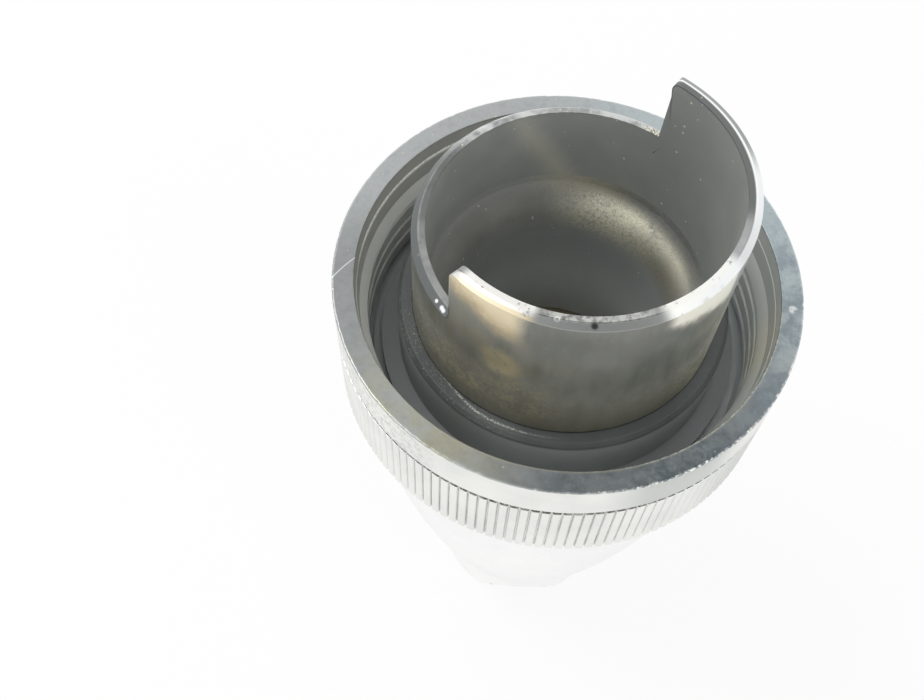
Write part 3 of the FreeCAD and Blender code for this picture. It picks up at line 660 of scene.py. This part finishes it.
class Signal:
    """A value that varies over a surface. Python's operators on it are sums on the surface."""

    def __init__(self, finish, socket):
        self.finish = finish
        self.socket = socket

    def sum_with(self, operation, *values):
        return self.finish.node("ShaderNodeMath", {"operation": operation}, dict(enumerate(values)))

    def __add__(self, other):
        return self.sum_with("ADD", self, other)

    def __sub__(self, other):
        return self.sum_with("SUBTRACT", self, other)

    def __rsub__(self, other):
        return self.sum_with("SUBTRACT", other, self)

    def __mul__(self, other):
        return self.sum_with("MULTIPLY", self, other)

    __radd__ = __add__
    __rmul__ = __mul__

    def least(self, other):
        return self.sum_with("MINIMUM", self, other)

    def most(self, other):
        return self.sum_with("MAXIMUM", self, other)

    def ramp(self, start, end):
        """Zero up to start and one from end, smooth between; start may be the larger."""
        inputs = {"Value": self, "From Min": start, "From Max": end}
        return self.finish.node("ShaderNodeMapRange", {"interpolation_type": "SMOOTHSTEP"}, inputs)


def within(value, low, high, soft):
    """One between two values and zero outside them, with soft ends."""
    return value.ramp(low - soft, low + soft) * value.ramp(high + soft, high - soft)


def degrees(*angles):
    """The angles in radians, from minus to plus half a turn, as a surface's angle is given."""
    return [math.radians((angle + 180) % 360 - 180) for angle in angles]


def sector(angle, start, end, soft):
    """One between two angles in degrees, with soft ends in radians."""
    return within(angle, *degrees(start, end), soft)


def shader_inputs(colour, metallic, roughness, normal):
    return {"Base Color": colour, "Metallic": metallic, "Roughness": roughness, "Normal": normal}


class Finish:
    """One material or the world, and the nodes that make it."""

    def __init__(self, tree):
        self.tree = tree
        self.tree.nodes.clear()

    def node(self, kind, settings=None, inputs=None, output=0):
        made = self.tree.nodes.new(kind)
        for key, setting in (settings or {}).items():
            setattr(made, key, setting)
        for key, value in (inputs or {}).items():
            socket = made.inputs[key]
            if isinstance(value, Signal):
                self.tree.links.new(value.socket, socket)
            elif socket.type == "RGBA" and len(value) == 3:
                socket.default_value = (*value, 1.0)
            else:
                socket.default_value = value
        return Signal(self, made.outputs[output]) if len(made.outputs) else None

    def spot(self):
        """The place on the piece, in millimetres."""
        where = self.node("ShaderNodeTexCoord", output="Object")
        return self.node("ShaderNodeVectorMath", {"operation": "SCALE"}, {0: where, "Scale": 1 / MM})

    def parts_of(self, spot):
        """Across, along, up, the radius and the angle of a place."""
        x, y, z = (self.node("ShaderNodeSeparateXYZ", inputs={0: spot}, output=n) for n in range(3))
        flat = self.node("ShaderNodeCombineXYZ", inputs={0: x, 1: y})
        radius = self.node("ShaderNodeVectorMath", {"operation": "LENGTH"}, {0: flat}, "Value")
        angle = self.node("ShaderNodeMath", {"operation": "ARCTAN2"}, {0: y, 1: x})
        return x, y, z, radius, angle

    def mark(self, name):
        return self.node("ShaderNodeAttribute", {"attribute_name": name}, output="Fac")

    def noise(self, spot, size, detail=3.0, roughness=0.55, stretch=(1, 1, 1)):
        """Cloudy variation about 0.5, whose blots are about this many millimetres."""
        sizes = tuple(1 / (size * s) for s in stretch)
        scaled = self.node("ShaderNodeVectorMath", {"operation": "MULTIPLY"}, {0: spot, 1: sizes})
        inputs = {"Vector": scaled, "Scale": 1.0, "Detail": detail, "Roughness": roughness}
        return self.node("ShaderNodeTexNoise", inputs=inputs, output="Fac")

    def specks(self, spot, spacing, size, share):
        """Small round specks: their spacing and size in millimetres, and the share of places that has one."""
        scaled = self.node("ShaderNodeVectorMath", {"operation": "SCALE"}, {0: spot, "Scale": 1 / spacing})
        near, cell = (
            self.node("ShaderNodeTexVoronoi", {"feature": "F1"}, {"Vector": scaled, "Scale": 1.0}, output)
            for output in ("Distance", "Color")
        )
        pick, big = (self.node("ShaderNodeSeparateColor", inputs={0: cell}, output=n) for n in (0, 1))
        edge = big * (size / spacing)
        return (edge - near).ramp(0.0, 0.4 * size / spacing) * pick.ramp(1 - share, 1.001 - share)

    def blend(self, amount, low, high):
        """One colour over another."""
        return self.node("ShaderNodeMix", {"data_type": "RGBA"}, {0: amount, 6: low, 7: high}, 2)

    def coated(self, colour, *coats):
        """A colour with others laid over it in turn. Each coat is how much of it shows, and its colour."""
        for amount, coat in coats:
            colour = self.blend(amount, colour, coat)
        return colour

    def near(self, spot, place, size):
        """One at a place in millimetres, falling to zero at this distance."""
        far = self.node("ShaderNodeVectorMath", {"operation": "DISTANCE"}, {0: spot, 1: place}, "Value")
        return far.ramp(size, 0.4 * size)

    def bump(self, height, distance, strength):
        inputs = {"Height": height, "Distance": distance * MM, "Strength": strength}
        return self.node("ShaderNodeBump", inputs=inputs)


def metal(name, make):
    """A material whose shader sockets come from make, which gets the finish and returns them by name."""
    material = bpy.data.materials.new(name)
    material.use_nodes = True
    finish = Finish(material.node_tree)
    shader = finish.node("ShaderNodeBsdfPrincipled", inputs=make(finish))
    finish.node("ShaderNodeOutputMaterial", inputs={"Surface": shader})
    return material


def collar_nickel(finish):
    spot = finish.spot()
    x, y, z, radius, angle = finish.parts_of(spot)
    wear, grime_and_shade = finish.mark("edge_wear"), finish.mark("grime_and_shade")
    cloud = finish.noise(spot, 3.0, 3)
    blots = finish.noise(spot, 1.6, 5, 0.6)
    mottle = finish.noise(spot, 0.7, 6, 0.72)
    fine = finish.noise(spot, 0.25, 4, 0.65)
    grain = finish.noise(spot, 0.08, 3)
    # Pale worn plate outside, speckled on the left, with painted shade on the band and knurl on the right,
    # grime and painted shade in the knurl's cuts and corners, and a dark groove under the band
    on_band = z.ramp(-2.6, -2.2)
    in_groove = within(z, -BAND - GROOVE_WIDTH - 0.02, -BAND, 0.02)
    in_groove = in_groove * radius.ramp(COLLAR_R - 0.02, COLLAR_R - 0.06)
    plate = finish.coated(
        finish.blend(cloud.ramp(0.3, 0.7), (0.79, 0.8, 0.77), (0.88, 0.88, 0.85)),
        (fine.ramp(0.58, 0.72) * 0.2, (0.62, 0.63, 0.62)),
        (sector(angle, 284, 310, 0.12) * on_band * 0.75, (0.48, 0.51, 0.48)),
        (sector(angle, 312, 350, 0.2) * z.ramp(-2.4, -2.7) * 0.6, (0.5, 0.52, 0.5)),
        (sector(angle, 181, 236, 0.1) * fine.ramp(0.46, 0.6) * on_band * 0.45, (0.4, 0.4, 0.37)),
        (grime_and_shade.ramp(0.2, 1.0) * (0.1 + blots.ramp(0.35, 0.65) * 0.4), (0.5, 0.5, 0.48)),
        (in_groove, finish.blend(fine.ramp(0.42, 0.58), (0.3, 0.3, 0.29), (0.75, 0.75, 0.72))),
    )
    # Satin rim: grey at the back and left, blue-grey right, olive on the lower left and slate lower right,
    # with painted shade darkening the left and a painted highlight along the inner edge at the front
    slate = sector(angle, 262, 322, 0.4) * (0.6 + blots.ramp(0.4, 0.62) * 0.4)
    bruised = sector(angle, 318, 375, 0.3) * (blots * 0.5 + mottle * 0.5).ramp(0.42, 0.58)
    pale = sector(angle, 290, 330, 0.3) * (blots * 0.6 + fine * 0.4).ramp(0.54, 0.66)
    bend = (y + 0.4) * (y + 0.4) * 0.12
    scratch = within(y * 0.61 - x * 0.79 + bend, 8.13, 8.18, 0.02) * within(y, -0.9, 0.6, 0.1)
    rim = finish.coated(
        finish.blend(sector(angle, -25, 75, 0.6), (0.52, 0.535, 0.53), (0.6, 0.68, 0.7)),
        (x.ramp(-6.0, -9.5) * y.ramp(5.0, 0.0) * (0.36 + blots * 0.4), (0.22, 0.225, 0.22)),
        (sector(angle, 215, 250, 0.3) * blots.ramp(0.3, 0.6), (0.5, 0.49, 0.38)),
        (slate * 0.9, (0.13, 0.16, 0.178)),
        (fine.ramp(0.45, 0.7) * 0.16, (0.25, 0.28, 0.3)),
        (bruised * 0.65, (0.2, 0.26, 0.3)),
        (mottle.ramp(0.48, 0.66) * (0.14 + slate * 0.3), (0.5, 0.56, 0.6)),
        (mottle.ramp(0.5, 0.34) * (0.12 + slate * 0.2), (0.1, 0.12, 0.13)),
        (scratch * 0.8, (0.9, 0.92, 0.92)),
        (finish.near(spot, (10.39, -1.4, 0.0), 0.3) * mottle.ramp(0.45, 0.55), (1.0, 1.0, 1.0)),
        (pale * 0.35, (0.55, 0.63, 0.67)),
        (sector(angle, 235, 340, 0.4) * radius.ramp(10.12, 10.02) * 0.5, (0.6, 0.58, 0.5)),
        (finish.specks(spot, 0.45, 0.09, 0.25) * 0.6, (0.85, 0.82, 0.66)),
    )
    # Dull grey inside, with painted light on the right and on the chamfer above the thread, and a painted
    # glint across the thread at the front right. A painted highlight line runs high on the back left, painted
    # shade darkens the left, and grime and painted shade darken the roots. Deep down it is painted paler on
    # the right and darker on the left
    on_right, above_chamfer = x.ramp(5.0, 9.0), within(z, -1.75, -0.1, 0.05)
    painted_highlight_line = within(z, -0.96, -0.76, 0.02) * sector(angle, 100, 172, 0.15)
    inside = finish.coated(
        finish.blend(cloud.ramp(0.3, 0.7), (0.6, 0.61, 0.58), (0.7, 0.71, 0.68)),
        (within(z, -2.4, -1.8, 0.05) * 0.7, (0.88, 0.9, 0.86)),
        (above_chamfer * x.ramp(2.0, -4.0) * 0.35, (0.42, 0.42, 0.39)),
        (on_right * 0.85, (0.93, 0.97, 0.95)),
        (sector(angle, 338, 354, 0.12) * z.ramp(-5.0, -4.6) * 0.8, (1.0, 0.97, 0.84)),
        (grime_and_shade.ramp(0.3, 1.0) * 0.8, (0.12, 0.125, 0.12)),
        (z.ramp(-5.0, -5.5), finish.blend(x.ramp(-2.0, -6.0), (0.78, 0.82, 0.82), (0.48, 0.5, 0.5))),
        (above_chamfer * on_right * 0.35, (0.45, 0.48, 0.47)),
        (painted_highlight_line * (0.55 + fine.ramp(0.4, 0.55) * 0.45), (1.0, 1.0, 0.97)),
    )
    on_rim = z.ramp(-0.1, -0.04)
    in_mouth = radius.ramp(MOUTH_R + 0.05, MOUTH_R + 0.01) * (1 - on_rim)
    chipped = wear * fine.ramp(0.45, 0.6) * (0.8 - in_mouth * 0.6) * z.ramp(-0.6, -0.2)
    chipped = chipped * (0.2 + sector(angle, 280, 345, 0.3) * 0.8)
    colour = finish.coated(plate, (on_rim, rim), (in_mouth, inside), (chipped, (0.95, 0.95, 0.9)))
    rough = 0.3 + on_rim * 0.08 + in_mouth * 0.16 + grime_and_shade * 0.15 + (grain - 0.5) * 0.14
    height = grain * 0.3 + fine * 0.4
    return shader_inputs(colour, 1.0 - in_mouth * 0.88, rough, finish.bump(height, 0.008, 0.5))


def sleeve_nickel(finish):
    spot = finish.spot()
    x, y, z, radius, angle = finish.parts_of(spot)
    lip = finish.mark("lip")
    cloud = finish.noise(spot, 3.0, 3)
    blots = finish.noise(spot, 0.9, 4, 0.6)
    fine = finish.noise(spot, 0.22, 4, 0.65)
    grain = finish.noise(spot, 0.07, 3)
    smear = finish.noise(spot, 0.6, 3, stretch=(1, 1, 4))
    # Outside, painted glare over worn plate makes it bright and golden under the lip in two places
    broken = (blots - 0.5) * 1.2 + (fine - 0.5) * 0.5
    left_side, right_side = z + angle * 2.87 + broken, z + angle * 2.0 + broken
    left_rub_glare = sector(angle + broken * 0.07, 219, 249, 0.07) * left_side.ramp(-1.4, 0.3)
    right_rub_glare = sector(angle, 297, 326, 0.05) * right_side.ramp(3.5, 4.5)
    painted_glare = (left_rub_glare + right_rub_glare).least(1.0)
    left_gold = finish.blend(left_side.ramp(-0.6, 0.9), (0.62, 0.5, 0.3), (0.92, 0.8, 0.56))
    right_gold = finish.blend(right_side.ramp(3.6, 4.4), (0.8, 0.75, 0.58), (1.0, 0.98, 0.86))
    # Olive-brown dust clings to the lower half outside, with golden patches on the left. On the right,
    # painted glare lightens the side and, with dust, makes a golden fringe
    low = (z + (cloud - 0.5) * 4 + (fine - 0.5) * 1.6).ramp(3.4, -0.6)
    golden = sector(angle, 212, 262, 0.25) * within(z, -1.0, 4.6, 1.0)
    golden = golden * (blots * 0.45 + fine * 0.55).ramp(0.42, 0.66)
    blotch = finish.near(spot, (-3.19, -6.54, 3.0), 1.3) * (blots * 0.5 + fine * 0.5).ramp(0.3, 0.5)
    dust_and_glare_fringe = sector(angle, 322, 352, 0.35) * (fine * 0.6 + blots * 0.4).ramp(0.42, 0.6) * z.ramp(6.6, 3.6)
    crumbs = finish.noise(spot, 0.1, 3, 0.75).ramp(0.56, 0.64) * sector(angle, 184, 222, 0.2)
    crumbs = crumbs * within(z, -2.0, 2.2, 0.8) * blots.ramp(0.4, 0.55)
    plate = finish.coated(
        finish.blend((cloud * 0.5 + smear * 0.5).ramp(0.35, 0.65), (0.34, 0.345, 0.315), (0.5, 0.5, 0.46)),
        ((z + (smear - 0.5) * 2).ramp(4.0, 6.2) * 0.45, (0.12, 0.125, 0.115)),
        (painted_glare * 0.95, finish.blend(x.ramp(0.0, 2.0), left_gold, right_gold)),
        (x.ramp(5.0, 7.0) * 0.6, (0.8, 0.82, 0.8)),
        (low * 0.75, (0.17, 0.165, 0.12)),
        (golden * 0.65, (0.52, 0.45, 0.28)),
        (blotch * 0.9, (0.82, 0.72, 0.49)),
        (dust_and_glare_fringe * 0.6, (0.74, 0.7, 0.5)),
        (crumbs * 0.7, (0.85, 0.83, 0.7)),
    )
    # Inside, a painted reflection runs as a pale streak down the back, and painted shade darkens the right
    reflected_streak = within(z - (angle - math.radians(104)) * 11 - 1.5 + (blots - 0.5), -1.0, 1.0, 1.4)
    inner = finish.coated(
        finish.blend(cloud.ramp(0.3, 0.7), (0.445, 0.46, 0.445), (0.525, 0.54, 0.52)),
        (x.ramp(1.0, 6.0) * 0.5, (0.3, 0.315, 0.305)),
        (reflected_streak * sector(angle, 80, 116, 0.15) * 0.55, (0.85, 0.82, 0.7)),
    )
    # The lip is dull grey and paler on its bevel. Painted highlights make it white over the painted glare on
    # the wall below and bright on the right and at the back, with painted glints by the back step. Painted
    # shade darkens its inner half on the left, and on the right too, with a painted white highlight line and
    # a grey one outside it
    bevel_r, dark_r, line_r = SLEEVE_R - LIP_WIDTH, SLEEVE_INNER_R + 0.3, SLEEVE_INNER_R + 0.4
    bevelled = radius.ramp(bevel_r, bevel_r + 0.06)
    tall = z.ramp(SLEEVE_LOW + 0.6, SLEEVE_LOW + 1.2)
    white = sector(angle, 226, 253, 0.03) * (blots * 0.4 + fine * 0.6).ramp(0.36, 0.44) * tall
    edge = radius.ramp(SLEEVE_R - LIP_WIDTH * 0.62, SLEEVE_R - LIP_WIDTH * 0.4)
    right_white = sector(angle, 295, 328, 0.05) * (blots * 0.5 + fine * 0.5).ramp(0.36, 0.46) * tall
    left_painted_shade = x.ramp(-1.0, -4.5) * y.ramp(-2.0, 1.0) * (1 - tall) * radius.ramp(dark_r, dark_r - 0.1)
    thin = sector(angle, -14, 75, 0.1) * tall
    outer_line = finish.blend(angle.ramp(0.05, 0.35), (0.9, 0.93, 0.94), (0.36, 0.38, 0.38))
    glint_grains = finish.blend(grain.ramp(0.44, 0.56), (0.3, 0.28, 0.2), (1.0, 0.97, 0.86))
    flat = finish.coated(
        finish.blend(blots.ramp(0.35, 0.65), (0.27, 0.275, 0.27), (0.4, 0.405, 0.395)),
        (tall * sector(angle, 255, 292, 0.1) * fine.ramp(0.35, 0.6), (0.7, 0.7, 0.66)),
        (bevelled * (1 - tall), (0.165, 0.175, 0.175)),
        (bevelled * tall, (0.52, 0.525, 0.5)),
        (within(radius, bevel_r - 0.03, bevel_r + 0.01, 0.02) * tall * 0.7, (0.1, 0.1, 0.095)),
        (white, finish.blend(edge, (1.0, 0.98, 0.93), (0.9, 0.79, 0.56))),
        (right_white, (1.0, 0.99, 0.93)),
        (x.ramp(2.0, 5.5) * tall * (0.4 + bevelled * 0.6), (0.85, 0.87, 0.87)),
        (left_painted_shade * 0.8, (0.17, 0.175, 0.17)),
        (thin * radius.ramp(dark_r, dark_r - 0.06), (0.22, 0.23, 0.225)),
        (thin * radius.ramp(line_r, line_r + 0.04), outer_line),
        (thin * within(radius, dark_r, line_r, 0.03), (1.0, 1.0, 0.98)),
        (y.ramp(3.5, 5.5) * (1 - tall) * (0.3 + blots.ramp(0.35, 0.6) * 0.6), (0.8, 0.82, 0.8)),
        (finish.near(spot, (4.28, 5.7, SLEEVE_LOW), 1.5) * 0.9, glint_grains),
    )
    # Glints under the low lip's front end, and two rings, a nick and specks on the tall stretch
    glints = finish.near(spot, (-5.96, -3.97, SLEEVE_LOW - 0.16), 0.13)
    glints = glints.most(finish.near(spot, (-5.72, -4.31, SLEEVE_LOW - 0.16), 0.16))
    glints = glints.most(finish.near(spot, (-5.65, -4.42, SLEEVE_LOW - 0.18), 0.15))
    rings = [
        ((finish.near(spot, place, size) - finish.near(spot, place, size * 0.6)).most(0.0), (1.0, 1.0, 0.97))
        for place, size in (((-1.21, -6.85, SLEEVE_TIP), 0.16), ((-2.1, -6.4, SLEEVE_TIP), 0.1))
    ]
    mid_wall = SLEEVE_R - SLEEVE_WALL / 2
    outside = radius.ramp(mid_wall - 0.05, mid_wall + 0.05)
    specks = finish.specks(spot, 0.34, 0.085, 0.3) * (0.15 + y.ramp(0.0, 3.0) * (1 - outside)).least(1.0)
    colour = finish.coated(
        inner, (outside, plate), (lip, flat), (glints, (1.0, 1.0, 1.0)), *rings,
        (finish.near(spot, (0.22, -7.08, SLEEVE_TIP), 0.2) * 0.9, (0.05, 0.05, 0.045)),
        (specks * 0.9, (0.95, 0.9, 0.72)),
    )
    dirt, painted_glare = low * outside, painted_glare * outside
    rough = 0.32 + dirt * 0.3 + (1 - outside) * 0.16 + (grain - 0.5) * 0.14 + painted_glare * 0.1
    metallic = 1.0 - dirt * 0.4 - (1 - outside) * (1 - lip) * 0.6 - painted_glare * 0.5 - dust_and_glare_fringe * outside * 0.3
    metallic = (metallic - right_white * lip * 0.6).most(0.0) * (1 - glints)
    height = grain * 0.3 + fine * 0.35 + specks * 0.5
    return shader_inputs(colour, metallic, rough, finish.bump(height, 0.008, 0.5))


def body_nickel(finish):
    spot = finish.spot()
    x, _, z, radius, angle = finish.parts_of(spot)
    wear, grime_and_shade = finish.mark("edge_wear"), finish.mark("grime_and_shade")
    cloud = finish.noise(spot, 4.0, 4)
    blots = finish.noise(spot, 0.9, 5, 0.65)
    grain = finish.noise(spot, 0.08, 3)
    turning = finish.noise(spot, 0.15, 2, stretch=(40, 40, 0.4))
    # The journal inside the collar is dull slate, painted paler below its top where little light comes and
    # painted darker on the left, with a pale line of dust and painted highlight near its inner edge on the
    # lower left
    in_recess, below_top = z.ramp(-7.6, -7.5), z.ramp(-2.1, -2.4)
    line_r = 7.3 + angle.ramp(*degrees(219, 243)) * 0.3
    dust_and_highlight = within(radius - line_r, -0.04, 0.04, 0.06) * sector(angle, 226, 256, 0.3)
    dull = finish.coated(
        finish.blend(cloud.ramp(0.3, 0.7), (0.115, 0.125, 0.125), (0.155, 0.165, 0.165)),
        (below_top, (0.5, 0.53, 0.53)),
        (x.ramp(-2.0, -6.0) * below_top * 0.6, (0.25, 0.26, 0.26)),
        (x.ramp(-2.5, -5.5) * z.ramp(-2.25, -2.05) * 0.45, (0.05, 0.055, 0.055)),
        (dust_and_highlight * grain.ramp(0.38, 0.62) * 0.9, (0.95, 0.95, 0.88)),
    )
    # Painted sheen: the plate is coloured paler where it is seen along the surface than face on
    slant = finish.node("ShaderNodeLayerWeight", inputs={"Blend": 0.5}, output="Facing")
    face_on = finish.blend(cloud.ramp(0.35, 0.7), (0.6, 0.61, 0.6), (0.68, 0.685, 0.67))
    along = finish.blend(cloud.ramp(0.35, 0.7), (0.93, 0.94, 0.93), (0.97, 0.97, 0.96))
    dust = finish.noise(spot, 0.1, 3, 0.75).ramp(0.56, 0.64) * sector(angle, 183, 250, 0.3) * in_recess
    colour = finish.coated(
        finish.blend(slant.ramp(0.25, 0.62), face_on, along),
        (blots.ramp(0.62, 0.78) * 0.12, (0.7, 0.71, 0.69)),
        (wear * 0.5, (0.95, 0.95, 0.93)),
        (in_recess, dull),
        (dust * 0.4 * blots.ramp(0.38, 0.52), (0.6, 0.59, 0.5)),
        # Grime and painted shade darken the hollows low down
        (grime_and_shade * z.ramp(-7.8, -8.2) * 0.8, (0.06, 0.06, 0.055)),
    )
    rough = 0.24 + (grain - 0.5) * 0.14 + blots.ramp(0.55, 0.8) * 0.1 + grime_and_shade * 0.3 + in_recess * 0.24
    height = grain * 0.3 + blots * 0.15 + turning * 0.35
    return shader_inputs(colour, 1.0 - grime_and_shade * 0.3 - in_recess * 0.7, rough, finish.bump(height, 0.008, 0.5))


def throat_dull(finish):
    """Grey like the wall above, painted light on the cove, a painted gold glint on one side, dull and painted
    paler deep down.
    """
    spot = finish.spot()
    _, _, z, _, angle = finish.parts_of(spot)
    cloud = finish.noise(spot, 2.5, 4)
    fine = finish.noise(spot, 0.2, 4, 0.65)
    grain = finish.noise(spot, 0.1, 4)
    painted_glare = sector(angle, 5, 84, 0.3) * (cloud * 0.3 + fine * 0.7).ramp(0.25, 0.55)
    gold = finish.blend(angle.ramp(0.4, 1.1), (0.44, 0.42, 0.33), (1.0, 0.96, 0.76))
    cove = finish.blend(sector(angle, 62, 98, 0.25), (0.42, 0.425, 0.41), (0.64, 0.61, 0.5))
    crumbs = finish.noise(spot, 0.07, 2, 0.7).ramp(0.42, 0.62) * z.ramp(-1.3, -1.9)
    deep = z.ramp(-2.6, -4.2)
    colour = finish.coated(
        finish.blend(cloud.ramp(0.3, 0.7), (0.22, 0.22, 0.205), (0.28, 0.28, 0.26)),
        (painted_glare * 0.9, gold),
        (z.ramp(-2.1, -1.4), cove),
        (fine.ramp(0.5, 0.7) * 0.25, (0.26, 0.255, 0.21)),
        (crumbs * 0.38, (0.2, 0.195, 0.16)),
        (deep, finish.blend(z.ramp(-4.0, -9.0), (0.38, 0.4, 0.395), (0.66, 0.69, 0.68))),
        (finish.specks(spot, 0.35, 0.07, 0.25) * 0.7, (0.85, 0.82, 0.68)),
    )
    metallic = (0.25 + painted_glare * 0.55) * (1 - deep) + deep * 0.2
    normal = finish.bump(grain * 0.5 + fine * 0.5, 0.012, 0.7)
    return shader_inputs(colour, metallic, 0.52 + (grain - 0.5) * 0.2, normal)


def tooled(finish, spot):
    """A plain inner piece's clouds, what its grain adds to its roughness, and its bump with tool marks."""
    grain = finish.noise(spot, 0.09, 3)
    turning = finish.noise(spot, 0.12, 2, stretch=(30, 30, 0.5))
    clouds = finish.noise(spot, 1.2, 4).ramp(0.3, 0.7)
    return clouds, (grain - 0.5) * 0.2, finish.bump(grain * 0.5 + turning * 0.5, 0.008, 0.6)


def plain_metal(light, dark, rough, metallic):
    """A turned or drawn inner piece in two tones."""
    def make(finish):
        clouds, grain, normal = tooled(finish, finish.spot())
        return shader_inputs(finish.blend(clouds, dark, light), metallic, rough + grain, normal)
    return make


def dull_steel(finish):
    """Greased steel, painted paler further down where little light comes and painted darker on the left."""
    spot = finish.spot()
    x, _, z, _, _ = finish.parts_of(spot)
    clouds, grain, normal = tooled(finish, spot)
    colour = finish.coated(
        finish.blend(z.ramp(-5.2, -5.5), (0.4, 0.425, 0.43), (0.78, 0.82, 0.82)),
        (clouds * 0.2, (0.3, 0.32, 0.32)),
        (x.ramp(-2.0, -6.0) * 0.6, (0.3, 0.31, 0.31)),
    )
    return shader_inputs(colour, 0.1, 0.5 + grain, normal)


def red_fibre(finish):
    fibres = finish.noise(finish.spot(), 0.25, 5, 0.7, stretch=(1, 1, 0.3))
    colour = finish.blend(fibres.ramp(0.3, 0.7), (0.3, 0.07, 0.04), (0.46, 0.15, 0.09))
    return shader_inputs(colour, 0.0, 0.7 + (fibres - 0.5) * 0.2, finish.bump(fibres, 0.02, 0.7))


FINISHES = {slot: metal(slot, make) for slot, make in {
    "collar_nickel": collar_nickel,
    "sleeve_nickel": sleeve_nickel,
    "body_nickel": body_nickel,
    "throat_blackened": throat_dull,
    "plain_brass": plain_metal((0.44, 0.38, 0.27), (0.3, 0.26, 0.19), 0.45, 0.6),
    "bright_steel": plain_metal((0.5, 0.5, 0.49), (0.36, 0.36, 0.36), 0.4, 0.7),
    "spring_steel": dull_steel,
    "dark_screws": plain_metal((0.16, 0.16, 0.17), (0.07, 0.07, 0.075), 0.4, 0.9),
    "red_fibre": red_fibre,
}.items()}
SLOT_OF = {row["node"]: row["material_slot"] for row in frame["record"]["subparts"]}
BODY_OF = {node: body for body, nodes in frame["record"]["behaviour"]["bodies"].items() for node in nodes}


def give_finish(thing, node):
    """The thing gets this node's finish and no other."""
    thing.data.materials.clear()
    thing.data.materials.append(FINISHES[SLOT_OF[node]])


for node, thing in frame["nodes"].items():
    give_finish(thing, node)

for node, make in {
    "screw_collar": make_collar,
    "stepped_sleeve": make_sleeve,
    "throat_ring": make_throat,
    "tapered_body": make_body,
    "tail_plug": make_plug,
    "return_spring": make_spring,
}.items():
    piece = make()
    give_finish(piece, node)
    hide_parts(node)
    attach(piece, BODY_OF[node])
    if node == "return_spring":
        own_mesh(piece)


# Floor, world, lamps and camera

def behind_rays(finish):
    """One for the rays that see the background itself: camera, glossy and transmission rays."""
    names = ("Is Camera Ray", "Is Glossy Ray", "Is Transmission Ray")
    seen, glossy, through = (finish.node("ShaderNodeLightPath", output=name) for name in names)
    return seen.most(glossy).most(through)


def make_floor():
    half, height = FLOOR_HALF, PLUG_FOOT - FLOOR_GAP
    corners = [(-half, -half, height), (half, -half, height), (half, half, height), (-half, half, height)]
    floor = new_piece("floor", corners, [(0, 1, 2, 3)])
    material = bpy.data.materials.new("pale_floor")
    material.use_nodes = True
    finish = Finish(material.node_tree)
    matt = finish.node("ShaderNodeBsdfDiffuse", inputs={"Color": (0.9, 0.9, 0.9)})
    glow = finish.node("ShaderNodeEmission", inputs={"Color": (1, 1, 1), "Strength": 1.0})
    both = finish.node("ShaderNodeMixShader", inputs={0: behind_rays(finish) * 0.86, 1: matt, 2: glow})
    finish.node("ShaderNodeOutputMaterial", inputs={"Surface": both})
    floor.data.materials.append(material)


def light_world():
    world = bpy.data.worlds.new("pale_room")
    world.use_nodes = True
    bpy.context.scene.world = world
    finish = Finish(world.node_tree)
    way = finish.node("ShaderNodeTexCoord", output="Generated")
    up = finish.node("ShaderNodeSeparateXYZ", inputs={0: way}, output=2)
    wall = finish.blend(up.ramp(0.6, 1.0), (1.0, 1.0, 1.0), (0.3, 0.315, 0.33))
    lamp = finish.node("ShaderNodeBackground", inputs={"Color": (1, 1, 1), "Strength": 0.8})
    backdrop = finish.node("ShaderNodeBackground", inputs={"Color": wall, "Strength": 1.0})
    both = finish.node("ShaderNodeMixShader", inputs={0: behind_rays(finish), 1: lamp, 2: backdrop})
    finish.node("ShaderNodeOutputWorld", inputs={"Surface": both})


def soft_lamp(name, place, size, watts):
    """A square lamp at a place in millimetres, turned to the origin."""
    data = bpy.data.lights.new(name, "AREA")
    data.size = size * MM
    data.energy = watts
    lamp = in_scene(name, data)
    lamp.location = Vector(place) * MM
    lamp.rotation_euler = Vector(place).to_track_quat("Z", "Y").to_euler()


def set_camera():
    """The photograph's view: how high it looks from, its lean, and where the origin lies before it."""
    elevation, lean = math.radians(60.688), math.radians(2.76)
    origin_seen = Vector((0.449, 0.324, -4.673)) * COLLAR_R * MM
    focal_pixels, image_width, sensor = 1100, 924, 36
    data = bpy.data.cameras.new("camera")
    data.sensor_width = sensor
    data.lens = sensor * focal_pixels / image_width
    data.clip_start = 0.001
    camera = in_scene("camera", data)
    turn = Matrix.Rotation(math.pi / 2 - elevation, 4, "X") @ Matrix.Rotation(lean, 4, "Z")
    camera.matrix_world = Matrix.Translation(turn @ -origin_seen) @ turn
    bpy.context.scene.camera = camera


bpy.context.scene.view_settings.view_transform = "Standard"
make_floor()
light_world()
soft_lamp("key_lamp", (-160, 60, 240), 160, 0.3)
soft_lamp("fill_lamp", (180, -160, 160), 140, 0.08)
set_camera()
